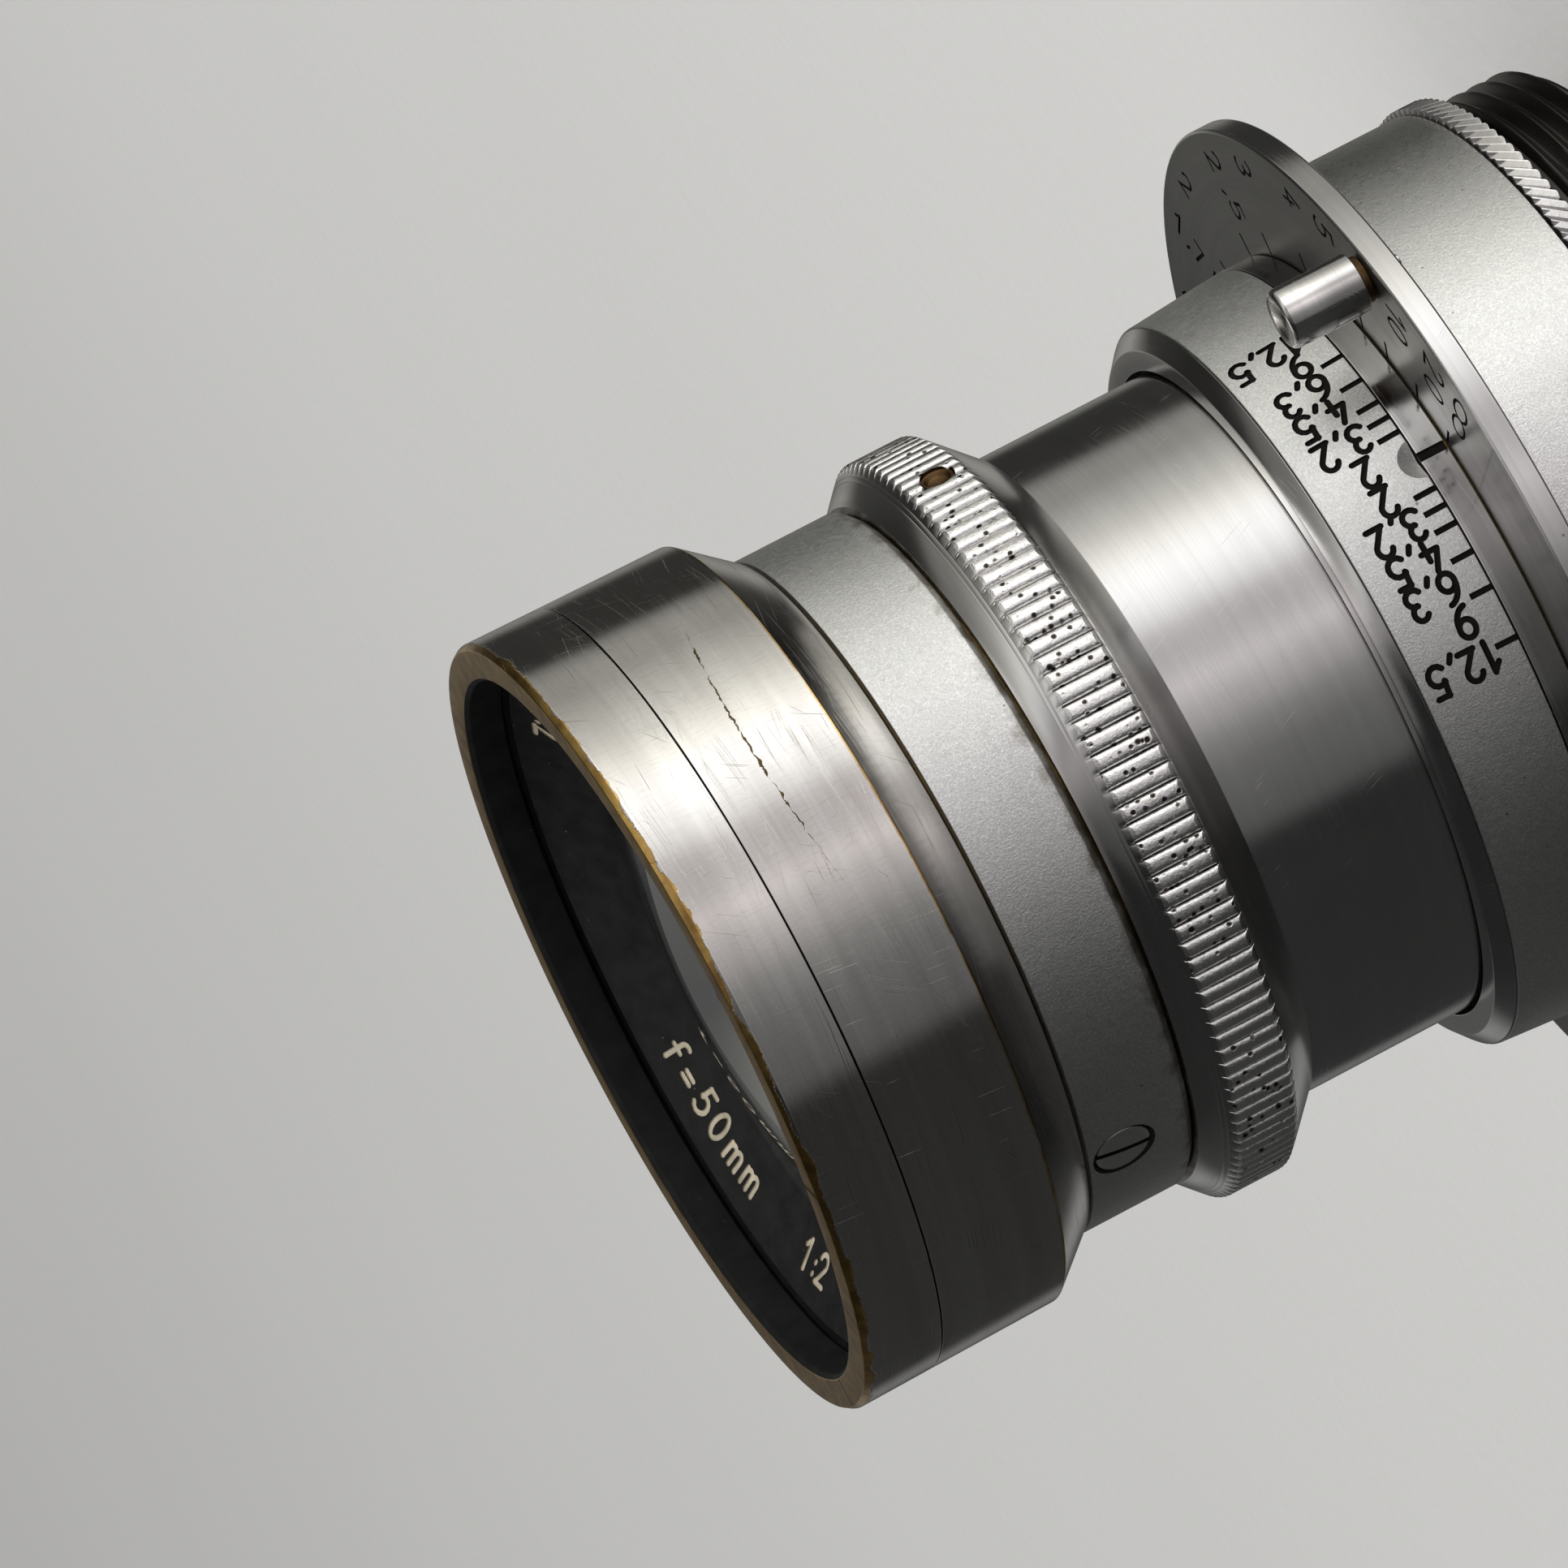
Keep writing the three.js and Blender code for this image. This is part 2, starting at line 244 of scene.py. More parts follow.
def cut(target, tools, inlay=0):
    """Takes closed (vertices, faces) tools out of a piece. Faces they leave get the piece's
    material number inlay, so an engraved mark is filled with its paint."""
    vertices = []
    faces = []
    for more_vertices, more_faces in tools:
        start = len(vertices)
        vertices.extend(more_vertices)
        faces.extend(tuple(start + i for i in face) for face in more_faces)
    mesh = bpy.data.meshes.new("tool")
    mesh.from_pydata([Vector(v) * MM for v in vertices], [], faces)
    for material in target.data.materials:
        mesh.materials.append(material)
    for face in mesh.polygons:
        face.material_index = inlay
    tool = bpy.data.objects.new("tool", mesh)
    bpy.context.scene.collection.objects.link(tool)
    step = target.modifiers.new("cut", "BOOLEAN")
    step.operation = "DIFFERENCE"
    step.solver = "MANIFOLD"
    step.object = tool
    evaluated = target.evaluated_get(bpy.context.evaluated_depsgraph_get())
    left = bpy.data.meshes.new_from_object(evaluated)
    target.modifiers.clear()
    old = target.data
    left.name = old.name
    target.data = left
    bpy.data.meshes.remove(old)
    bpy.data.objects.remove(tool)
    bpy.data.meshes.remove(mesh)


def true_normals(made):
    """Gives each face of a turned piece the normals of its exact cone, however it was cut."""
    mesh = made.data
    normals = np.zeros((len(mesh.loops), 3))
    for face in mesh.polygons:
        flat = face.normal
        outward = Vector((face.center.x, face.center.y, 0)).normalized()
        round_face = abs(flat.cross(outward).z) < 0.06
        for loop in face.loop_indices:
            place = mesh.vertices[mesh.loops[loop].vertex_index].co
            here = Vector((place.x, place.y, 0)).normalized()
            turned = here * flat.dot(outward) + Vector((0, 0, flat.z))
            normals[loop] = turned.normalized() if round_face else flat
    mesh.normals_split_custom_set(normals)


# ---- engraving ----
TOOL_RISE = 0.4  # how far a cutting tool stands out of the surface


def arc(cx, cy, rx, ry, start, end, steps=10):
    """Points along an elliptic arc between two angles."""
    turn = np.radians(np.linspace(start, end, steps + 1))
    return [(cx + rx * math.cos(a), cy + ry * math.sin(a)) for a in turn]


def loop(cx, cy, rx, ry):
    """A closed ring, as two strokes whose ends run into each other."""
    return [arc(cx, cy, rx, ry, 88, 272, 12), arc(cx, cy, rx, ry, -92, 92, 12)]


def digits():
    """Strokes of each character, on a body one unit high and half a unit wide."""
    six = [arc(0.5, 0.34, 0.49, 0.64, 98, 172), *loop(0.25, 0.29, 0.25, 0.29)]
    nine = [[(0.5 - x, 1 - y) for x, y in stroke] for stroke in six]
    arch = arc(0.2, 0.42, 0.16, 0.2, 180, 0)
    return {
        "0": loop(0.25, 0.5, 0.25, 0.5),
        "1": [[(0.06, 0.74), (0.27, 0.98)], [(0.27, 1.0), (0.27, 0)]],
        "2": [arc(0.24, 0.73, 0.24, 0.27, 165, -25) + [(0.04, 0.03)], [(0.0, 0.02), (0.52, 0.02)]],
        "3": [arc(0.23, 0.75, 0.22, 0.25, 150, -88), arc(0.23, 0.26, 0.26, 0.26, 92, -150)],
        "4": [[(0.3, 1.0), (0.0, 0.33)], [(0.0, 0.33), (0.52, 0.33)], [(0.36, 0.62), (0.36, 0.0)]],
        "5": [[(0.08, 0.98), (0.46, 0.98)], [(0.1, 1.0), (0.06, 0.52)],
              arc(0.21, 0.31, 0.28, 0.31, 128, -145)],
        "6": six,
        "7": [[(0.0, 0.98), (0.48, 0.98)], [(0.48, 0.99), (0.16, 0.0)]],
        "9": nine,
        ",": [[(0.21, 0.1), (0.1, -0.1)]],
        ":": [[(0.2, 0.12), (0.22, 0.16)], [(0.2, 0.5), (0.22, 0.54)]],
        "=": [[(0.02, 0.25), (0.42, 0.25)], [(0.02, 0.48), (0.42, 0.48)]],
        "f": [arc(0.38, 0.8, 0.2, 0.2, 60, 180) + [(0.18, 0.0)], [(0.0, 0.56), (0.38, 0.56)]],
        "m": [[(0.04, 0.0), (0.04, 0.62)], arch + [(0.36, 0.0)],
              [(x + 0.32, y) for x, y in arch] + [(0.68, 0.0)]],
        "~": [*loop(0.3, 0.5, 0.28, 0.2), *loop(0.86, 0.5, 0.28, 0.2)],
    }


DIGITS = digits()
MOST_STROKES = max(len(strokes) for strokes in DIGITS.values())


def polar(r, turn, z):
    """The point at a radius, an angle in radians and a height."""
    return r * math.cos(turn), r * math.sin(turn), z


def groove(path, width, place, depth, round_ends=True):
    """A closed tool that follows a path on a surface. place(x, y, n) gives a point of the
    surface's own grid at height n above it."""
    path = np.array(path, float)
    ahead = np.gradient(path, axis=0)
    ahead /= np.hypot(ahead[:, 0], ahead[:, 1])[:, None]
    side = np.column_stack([-ahead[:, 1], ahead[:, 0]])
    half = width / 2

    def rounding(end, way):
        """Sections that narrow to a round tip, from one end of the path outwards."""
        sections = []
        for lean in np.radians((60, 30, 8)):
            spot = path[end] + way * ahead[end] * half * math.cos(lean)
            sections.append((spot, side[end], half * math.sin(lean)))
        return sections

    sections = [(spot, across, half) for spot, across in zip(path, side)]
    if round_ends:
        sections = [*reversed(rounding(0, -1)), *sections, *rounding(-1, 1)]
    vertices = []
    for spot, across, spread in sections:
        for sign, n in ((1, -depth), (-1, -depth), (-1, TOOL_RISE), (1, TOOL_RISE)):
            vertices.append(place(*(spot + sign * across * spread), n))
    return vertices, tube_faces(len(sections), 4)


def lettering(text, height, width, place, depth, pitch=0.72, comma=0.45):
    """Tools for a line of text, as one list for each stroke that a character has."""
    advance = {",": comma, ":": 0.45, "m": 1.0, "1": 0.62, "~": 1.25}
    passes = [[] for _ in range(MOST_STROKES)]
    x = 0
    for character in text:
        for number, path in enumerate(DIGITS[character]):
            points = [((px + x) * height, py * height) for px, py in path]
            passes[number].append(groove(points, width, place, depth))
        x += advance.get(character, pitch)
    return passes


def engrave(target, sets):
    """Cuts the first strokes of every mark, then the second ones, and so on, because strokes
    that cross can't be cut together. A plain tick has one stroke."""
    for number in range(MOST_STROKES):
        tools = [tool for passes in sets for stroke in passes[number:number + 1] for tool in stroke]
        if tools:
            cut(target, tools, inlay=1)


# ---- material nodes ----
class Nodes:
    """Short ways to build a node tree. A value is a number, a colour or a node's output."""

    def __init__(self, tree):
        self.tree = tree
        self.tree.nodes.clear()

    def add(self, kind, **settings):
        node = self.tree.nodes.new(kind)
        for key, value in settings.items():
            setattr(node, key, value)
        return node

    def fill(self, socket, value):
        if isinstance(value, bpy.types.NodeSocket):
            self.tree.links.new(value, socket)
        elif isinstance(value, tuple) and len(value) == 3 and len(socket.default_value) == 4:
            socket.default_value = (*value, 1)
        else:
            socket.default_value = value

    def put(self, kind, *values, **settings):
        """Adds a node, fills its inputs in order and gives its first output."""
        node = self.add(kind, **settings)
        for socket, value in zip(node.inputs, values):
            self.fill(socket, value)
        return node.outputs[0]

    def math(self, operation, *values):
        return self.put("ShaderNodeMath", *values, operation=operation)

    def plus(self, total, *others):
        for other in others:
            total = self.math("ADD", total, other)
        return total

    def minus(self, first, second):
        return self.math("SUBTRACT", first, second)

    def times(self, first, second):
        return self.math("MULTIPLY", first, second)

    def most(self, first, second):
        return self.math("MAXIMUM", first, second)

    def span(self, value, low, high, to_low=0.0, to_high=1.0):
        """A value's way from low to high, given between two other numbers."""
        return self.put("ShaderNodeMapRange", value, low, high, to_low, to_high)

    def split(self, vector):
        node = self.add("ShaderNodeSeparateXYZ")
        self.fill(node.inputs[0], vector)
        return node.outputs

    def ramp(self, value, stops):
        """A colour ramp. Its stops are (position, colour), the first of them at 0."""
        node = self.add("ShaderNodeValToRGB")
        self.fill(node.inputs[0], value)
        elements = node.color_ramp.elements
        elements.remove(elements[1])
        for number, (position, color) in enumerate(stops):
            element = elements.new(position) if number else elements[0]
            element.color = (*color, 1)
        return node.outputs[0]


UNROLLED_R = 17.0  # where lengths along the unrolled surface are true


class Look(Nodes):
    """A procedural material. Its places and sizes are in millimetres."""

    def __init__(self, name, **sockets):
        self.material = bpy.data.materials.new(name)
        self.material.use_nodes = True
        super().__init__(self.material.node_tree)
        self.shader = self.add("ShaderNodeBsdfPrincipled")
        end = self.add("ShaderNodeOutputMaterial")
        self.fill(end.inputs[0], self.shader.outputs[0])
        for socket, value in sockets.items():
            self.set(socket.replace("_", " "), value)
        place = self.add("ShaderNodeTexCoord").outputs["Object"]
        self.spot = self.vector("MULTIPLY", place, (1 / MM,) * 3)
        self.x, self.y, self.z = self.split(self.spot)
        self.r = self.math("SQRT", self.plus(self.times(self.x, self.x), self.times(self.y, self.y)))
        self.along = self.times(self.math("ARCTAN2", self.y, self.x), UNROLLED_R)

    def set(self, socket, value):
        self.fill(self.shader.inputs[socket], value)

    def vector(self, operation, *values):
        return self.put("ShaderNodeVectorMath", *values, operation=operation)

    def join(self, x, y, z):
        return self.put("ShaderNodeCombineXYZ", x, y, z)

    def mix(self, share, first, second):
        node = self.add("ShaderNodeMix", data_type="RGBA")
        self.fill(node.inputs[0], share)
        self.fill(node.inputs[6], first)
        self.fill(node.inputs[7], second)
        return node.outputs[2]

    def clouds(self, value, first, second):
        """Two colours, in the low and the high parts of a noise."""
        return self.mix(self.span(value, 0.35, 0.7), first, second)

    def noise(self, size, vector=None, detail=3.0, roughness=0.55):
        node = self.add("ShaderNodeTexNoise")
        self.fill(node.inputs["Vector"], vector or self.spot)
        node.inputs["Scale"].default_value = 1 / size
        node.inputs["Detail"].default_value = detail
        node.inputs["Roughness"].default_value = roughness
        return node.outputs["Fac"]

    def turning(self, across, along):
        """Lathe marks: noise drawn out round the axis, fine across it, on any turned face."""
        spread = UNROLLED_R / along
        climb = self.math("MULTIPLY_ADD", self.r, 0.62, self.z)
        vector = self.join(self.times(self.math("DIVIDE", self.x, self.r), spread),
                           self.times(self.math("DIVIDE", self.y, self.r), spread),
                           self.math("DIVIDE", climb, across))
        return self.noise(1.0, vector, detail=3.0, roughness=0.6)

    def scratches(self, angle, length, width, rarity):
        """Sparse straight scratches on the unrolled surface, 1 where one is."""
        lean = math.radians(angle)
        run = self.plus(self.times(self.along, math.cos(lean) / length),
                        self.times(self.z, math.sin(lean) / length))
        rise = self.minus(self.times(self.z, math.cos(lean) / width),
                          self.times(self.along, math.sin(lean) / width))
        found = self.noise(1.0, self.join(run, rise, angle), detail=0.0)
        patches = self.noise(2.4, self.join(self.along, self.z, angle), 1.0)
        return self.times(self.span(found, rarity, rarity + 0.03), self.span(patches, 0.45, 0.6))

    def pits(self, size, share, rim=0.28):
        """Small round pits, 1 at their middle, in a share of the cells."""
        cells = self.add("ShaderNodeTexVoronoi")
        self.fill(cells.inputs["Vector"], self.spot)
        cells.inputs["Scale"].default_value = 1 / size
        red = self.put("ShaderNodeSeparateColor", cells.outputs["Color"])
        chosen = self.math("LESS_THAN", red, share)
        return self.times(chosen, self.span(cells.outputs["Distance"], rim, rim * 0.5))

    def relief(self, height, depth):
        """Adds bump of a real depth to what the surface already has."""
        node = self.add("ShaderNodeBump")
        node.inputs["Distance"].default_value = depth * MM
        self.fill(node.inputs["Height"], height)
        already = self.shader.inputs["Normal"].links
        if already:
            self.fill(node.inputs["Normal"], already[0].from_socket)
        self.set("Normal", node.outputs[0])

    def brushed_round(self, amount):
        """Reflections spread across lathe marks that run round the axis."""
        self.set("Anisotropic", amount)
        self.set("Anisotropic Rotation", 0.25)
        tangent = self.add("ShaderNodeTangent", direction_type="RADIAL", axis="Z")
        self.set("Tangent", tangent.outputs[0])


STEEL = (0.70, 0.69, 0.685)
BRASS = (0.50, 0.345, 0.14)
GRIME = (0.06, 0.043, 0.026)


def shaded(color, share):
    """A colour made darker."""
    return tuple(part * share for part in color)


def turned_steel(name, roughness=0.15, color=STEEL, on_axis=True):
    """Bright steel with fine lathe marks, a little haze, a few specks and hairline scratches."""
    look = Look(name, Metallic=1.0)
    fine = look.turning(0.07, 40)
    broad = look.turning(0.5, 60)
    haze = look.noise(3.0, detail=4.0)
    marks = look.plus(look.scratches(5, 8.0, 0.03, 0.76), look.scratches(-63, 3.0, 0.03, 0.81))
    specks = look.times(look.pits(1.3, 0.07, 0.07), 0.6)
    tone = look.mix(look.span(broad, 0.35, 0.7, 0, 0.3), color, shaded(color, 0.78))
    tone = look.mix(look.span(fine, 0.45, 0.75, 0, 0.2), tone, shaded(color, 0.6))
    look.set("Base Color", look.mix(specks, tone, GRIME))
    look.set("Roughness", look.plus(look.span(fine, 0.3, 0.7, roughness - 0.02, roughness + 0.05),
                                    look.span(haze, 0.45, 0.7, 0, 0.05), look.times(marks, 0.12)))
    look.relief(fine, 0.0016)
    look.relief(marks, 0.002)
    if on_axis:
        look.brushed_round(0.5)
    return look.material


def satin_chrome(name="satin_chrome", rough=(0.38, 0.46)):
    """Bead-blasted chrome: a bright, even grain with a few specks, and grime by the head's edge."""
    look = Look(name, Metallic=1.0)
    grain = look.noise(0.1, detail=3.0, roughness=0.8)
    coarse = look.noise(0.3, detail=2.0)
    cloud = look.noise(5.0, detail=4.0)
    tone = look.clouds(cloud, (0.90, 0.90, 0.885), (0.83, 0.83, 0.82))
    tone = look.mix(look.span(grain, 0.42, 0.62), look.vector("MULTIPLY", tone, (0.78,) * 3), tone)
    tone = look.mix(look.span(grain, 0.6, 0.72, 0, 0.8), tone, (1.0, 1.0, 0.99))

    edge = reach("satin_head_shell")[1]
    ragged = look.times(look.minus(look.noise(1.1, detail=6.0), 0.45), 2.4)
    near_edge = look.minus(look.plus(edge + 0.5, ragged), look.z)
    in_front = look.math("GREATER_THAN", look.z, edge - 0.05)
    smudge = look.times(look.span(near_edge, 0.0, 0.7, 0, 0.75), in_front)
    specks = look.plus(look.pits(0.7, 0.14, 0.1), look.pits(1.9, 0.1, 0.05))
    dirt = look.most(look.times(specks, 0.7), smudge)
    look.set("Base Color", look.mix(dirt, tone, (0.16, 0.125, 0.075)))
    look.set("Roughness", look.span(coarse, 0.3, 0.7, *rough))
    look.relief(grain, 0.022)
    look.relief(coarse, 0.008)
    return look.material


def wear_line(look, joint):
    """One ragged, slightly bowed scrape that runs part of the way round the barrel."""
    turn = look.times(look.along, math.degrees(1 / UNROLLED_R))
    off = look.plus(turn, 85.0)
    bow = look.times(look.times(off, off), 0.0012)
    wander = look.times(look.minus(look.noise(0.35, detail=6.0), 0.5), 0.28)
    height = look.minus(look.plus(look.z, bow), joint - 2.42)
    gap = look.math("ABSOLUTE", look.plus(height, wander))
    width = look.span(look.noise(0.9, detail=5.0), 0.42, 0.66, 0.0, 0.085)
    start = look.span(turn, -103, -92)
    end = look.span(turn, -60, -64)
    inside = look.span(look.minus(gap, look.times(width, start)), 0.015, -0.015)
    return look.times(inside, end)


def bared_edges(look, rear, front):
    """Where brass shows: on the front lip, and along a broken line at the barrel's heel."""
    ragged = look.noise(0.3, detail=6.0, roughness=0.7)
    slow = look.noise(2.2, detail=4.0)
    wear = look.plus(look.times(look.minus(ragged, 0.5), 0.34), look.times(look.minus(slow, 0.5), 0.9))
    lip = look.span(look.plus(look.minus(look.z, front - 0.3), wear), -0.02, 0.02)
    gap = look.math("ABSOLUTE", look.minus(look.z, rear + 2.24))
    heel = look.span(look.minus(gap, look.times(ragged, 0.1)), 0.04, 0.0)
    return lip, look.times(heel, look.span(slow, 0.3, 0.45))


def worn_nickel():
    """Bright nickel with scratches, a brown scrape, and brass showing at its edges."""
    _, rear, joint = reach("aperture_barrel")
    front = reach("front_bezel")[2]
    look = Look("bright_nickel", Metallic=1.0)
    fine = look.turning(0.08, 30)
    broad = look.turning(0.8, 24)
    cross = look.noise(1.0, look.join(look.times(look.along, 9.0), look.z, 0.0), detail=3.0)
    marks = look.plus(look.scratches(3, 9.0, 0.035, 0.74), look.scratches(-12, 6.0, 0.03, 0.78),
                      look.scratches(84, 4.0, 0.03, 0.8))
    hairs = look.plus(look.scratches(58, 3.4, 0.05, 0.77), look.scratches(-3, 6.0, 0.05, 0.76),
                      look.scratches(31, 2.2, 0.06, 0.79))
    lip, heel = bared_edges(look, rear, front)
    lost = look.most(wear_line(look, joint), look.times(hairs, 0.6))

    metal = look.clouds(broad, (0.80, 0.78, 0.755), (0.68, 0.655, 0.63))
    metal = look.mix(look.span(cross, 0.5, 0.75, 0, 0.25), metal, (0.5, 0.47, 0.45))
    tarnish = look.span(look.noise(0.9, detail=4.0), 0.35, 0.65)
    brassy = look.mix(tarnish, (0.72, 0.47, 0.15), (0.42, 0.25, 0.08))
    tone = look.mix(look.most(lip, look.times(heel, 0.9)), metal, brassy)
    look.set("Base Color", look.mix(lost, tone, (0.10, 0.07, 0.035)))
    look.set("Roughness", look.plus(look.span(fine, 0.3, 0.7, 0.11, 0.18), look.times(marks, 0.1),
                                    look.times(lost, 0.3), look.times(lip, 0.1)))
    look.relief(fine, 0.002)
    look.relief(look.minus(1.0, look.most(marks, lost)), 0.003)
    look.relief(look.minus(1.0, lip), 0.008)
    look.brushed_round(0.5)
    return look.material


def pitted_knurl():
    """Bright ribs eaten by small dark pits, with shade painted in their roots, between smooth turned bevels."""
    radius, low, high = reach("knurled_grip_ring")
    look = Look("pitted_knurl", Metallic=1.0)
    fine = look.turning(0.07, 40)
    corroded = look.noise(0.2, detail=4.0, roughness=0.7)
    holes = look.most(look.pits(0.4, 0.42, 0.34), look.pits(0.75, 0.3, 0.22))
    # Painted shade: the colour darkens in the roots between the ribs, in patches.
    root_shade_patches = look.span(look.noise(1.3, detail=4.0), 0.35, 0.65, 0.5, 1.0)
    root = look.times(look.span(look.r, radius - 0.12, radius - 0.26), root_shade_patches)
    on_ribs = look.times(look.math("GREATER_THAN", look.z, low + 1.85),
                         look.math("LESS_THAN", look.z, high - 1.2))
    # dark holds the pits and the painted shade in the roots.
    dark = look.times(look.most(holes, root), on_ribs)
    bevel = look.mix(look.span(fine, 0.45, 0.75, 0, 0.25), (0.80, 0.79, 0.78), (0.5, 0.49, 0.48))
    bright = look.mix(on_ribs, bevel, (0.97, 0.96, 0.95))
    look.set("Base Color", look.mix(dark, bright, (0.05, 0.036, 0.026)))
    eaten = look.times(look.span(corroded, 0.3, 0.7, 0.0, 0.1), on_ribs)
    look.set("Roughness", look.plus(look.span(fine, 0.3, 0.7, 0.14, 0.2), eaten))
    look.relief(look.times(look.minus(corroded, holes), on_ribs), 0.04)
    look.relief(fine, 0.0016)
    return look.material


def machined_brass(name="machined_brass", color=BRASS, roughness=0.3):
    """Brass with lathe marks, tarnished in clouds."""
    look = Look(name, Metallic=1.0)
    fine = look.turning(0.12, 18)
    tarnish = look.noise(1.4, detail=5.0, roughness=0.6)
    look.set("Base Color", look.clouds(tarnish, color, shaded(color, 0.42)))
    look.set("Roughness", look.span(tarnish, 0.3, 0.7, roughness, roughness + 0.2))
    look.relief(fine, 0.003)
    return look.material


def matte_paint(name, color, worn, gloss=0.35):
    """Paint with a fine skin, a few nicks and dust."""
    look = Look(name, Metallic=0.0, Specular_IOR_Level=gloss)
    skin = look.noise(0.12, detail=3.0)
    dust = look.pits(0.5, 0.12, 0.1)
    uneven = look.noise(1.1, detail=4.0)
    tone = look.clouds(uneven, color, shaded(color, 0.6))
    look.set("Base Color", look.mix(look.times(dust, 0.8), tone, worn))
    look.set("Roughness", look.span(skin, 0.3, 0.7, 0.45, 0.62))
    look.relief(skin, 0.006)
    return look.material


def blued_steel():
    """Thin dark steel, rubbed along its flat sides."""
    look = Look("blued_steel", Metallic=1.0)
    sheen = look.noise(2.2, detail=3.0)
    look.set("Base Color", look.clouds(sheen, (0.05, 0.055, 0.07), (0.10, 0.09, 0.085)))
    rub = look.noise(0.4, look.join(look.x, look.y, 0.0), detail=5.0)
    look.set("Roughness", look.span(rub, 0.3, 0.7, 0.25, 0.45))
    look.relief(rub, 0.002)
    return look.material


def black_felt():
    """Fine tangled fibres."""
    look = Look("black_felt", Metallic=0.0, Sheen_Weight=0.4, Roughness=1.0)
    fibres = look.noise(0.09, detail=6.0, roughness=0.75)
    look.set("Base Color", look.mix(fibres, (0.008, 0.008, 0.008), (0.05, 0.05, 0.048)))
    look.relief(fibres, 0.05)
    return look.material


def optical_glass():
    """Clear dense glass with a little dust and a thin film of haze."""
    look = Look("optical_glass", Transmission_Weight=1.0, IOR=1.56)
    dust = look.pits(0.9, 0.07, 0.05)
    film = look.span(look.noise(5.0, detail=3.0), 0.45, 0.8, 0.0, 0.03)
    look.set("Base Color", look.mix(look.times(dust, 0.5), (0.97, 0.98, 0.975), (0.7, 0.68, 0.62)))
    look.set("Roughness", look.plus(film, look.times(dust, 0.3)))
    return look.material


def floor_card():
    """Pale card with a faint fibre."""
    look = Look("floor_card", Metallic=0.0, Specular_IOR_Level=0.25)
    fibre = look.noise(1.4, detail=4.0)
    broad = look.noise(160.0, detail=2.0)
    shade = look.plus(look.span(fibre, 0.3, 0.7, 0, 0.4), look.span(broad, 0.3, 0.7, 0, 0.6))
    look.set("Base Color", look.mix(shade, (0.60, 0.595, 0.585), (0.56, 0.555, 0.545)))
    look.set("Roughness", look.span(fibre, 0.3, 0.7, 0.7, 0.9))
    look.relief(fibre, 0.05)
    return look.material


STEEL_LOOK = turned_steel("turned_steel")
POLISHED = turned_steel("polished_steel", 0.12, (0.74, 0.73, 0.725))
SMALL_STEEL = turned_steel("small_steel", 0.11, (0.76, 0.745, 0.73), on_axis=False)
SATIN_SCREW = turned_steel("screw_steel", 0.3, (0.86, 0.85, 0.83), on_axis=False)
# Rougher steel for the flange's face, its darker colour painted shade.
DULL_STEEL_PAINTED_SHADE = turned_steel("dull_steel_painted_shade", 0.32, (0.42, 0.415, 0.405))
# Painted shade: the thread is near-black because it lies in deep shade.
THREAD_PAINTED_SHADE = turned_steel("thread_painted_shade", 0.3, (0.10, 0.095, 0.09))
SATIN = satin_chrome()
BRIGHT_SATIN = satin_chrome("bright_satin_chrome", (0.26, 0.34))
NICKEL = worn_nickel()
KNURL = pitted_knurl()
BRASS_LOOK = machined_brass()
# Dark brass; on the knob post's collar its darkness is painted shade.
BROWN = machined_brass("dark_brass_and_painted_shade", (0.17, 0.10, 0.045), 0.4)
BLACK = matte_paint("black_paint", (0.012, 0.012, 0.012), (0.09, 0.08, 0.07))
# Black fill for engraved marks, also painted shade in the screw pockets and slots.
INK_AND_PAINTED_SHADE = matte_paint("engraving_black_and_painted_shade", (0.010, 0.009, 0.008), (0.05, 0.045, 0.04), 0.04)
INNER_BLACK = matte_paint("inner_black", (0.010, 0.010, 0.010), (0.05, 0.045, 0.04), 0.1)
# Cream lettering paint, dimmed as painted shade inside the front.
CREAM_PAINTED_SHADE = matte_paint("engraving_cream_painted_shade", (0.42, 0.37, 0.28), (0.22, 0.19, 0.15))
BLUED = blued_steel()
FELT = black_felt()
GLASS = optical_glass()


# ---- plain turned rings, straight from their CAD sections ----
RINGS = {
    "mount_base": BRIGHT_SATIN, "helicoid_retaining_ring": BRASS_LOOK, "helicoid_ring": BROWN,
    "focusing_sleeve": BRASS_LOOK, "rangefinder_cam_ring": POLISHED, "felt_light_seal": FELT,
    "front_retaining_ring": POLISHED, "tube_slide_ring": BRASS_LOOK,
    "collapsible_tube": STEEL_LOOK, "tube_stop_ring": BRASS_LOOK, "front_lens_cell": BLACK,
    "doublet_retaining_ring": BLACK, "rear_lens_cell": BLACK, "rear_spacer_ring": BLACK,
    "rear_retaining_ring": BLACK, "aperture_barrel": NICKEL, "front_bezel": NICKEL,
    "iris_drive_sleeve": BRASS_LOOK, "iris_drive_plate": BRASS_LOOK,
}


def ring(node, materials, edge=EDGE):
    """A turned piece with its CAD node's section and broken corners."""
    section = softened(outline(node), edge)
    return piece("fine_" + node, node, lathe(section), materials)


def blacken_inside(made):
    """Gives the faces that look towards the axis the piece's second material."""
    for face in made.data.polygons:
        outward = Vector((face.center.x, face.center.y, 0)).normalized()
        if face.normal.dot(outward) < -0.5:
            face.material_index = 1


def cut_keyway(sleeve):
    """Opens the focusing sleeve's rear end for the guide key, with room for its travel."""
    low, high = (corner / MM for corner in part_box("sleeve_guide_key"))
    rear = reach("focusing_sleeve")[1]
    left = low.x - 0.25
    right = high.x + 0.25
    bottom = low.y - 1
    top = high.y + 1
    opening = [(left, bottom), (right, bottom), (right, top), (left, top)]
    cut(sleeve, [prism(opening, rear - 0.1, high.z + 0.65)])
    true_normals(sleeve)


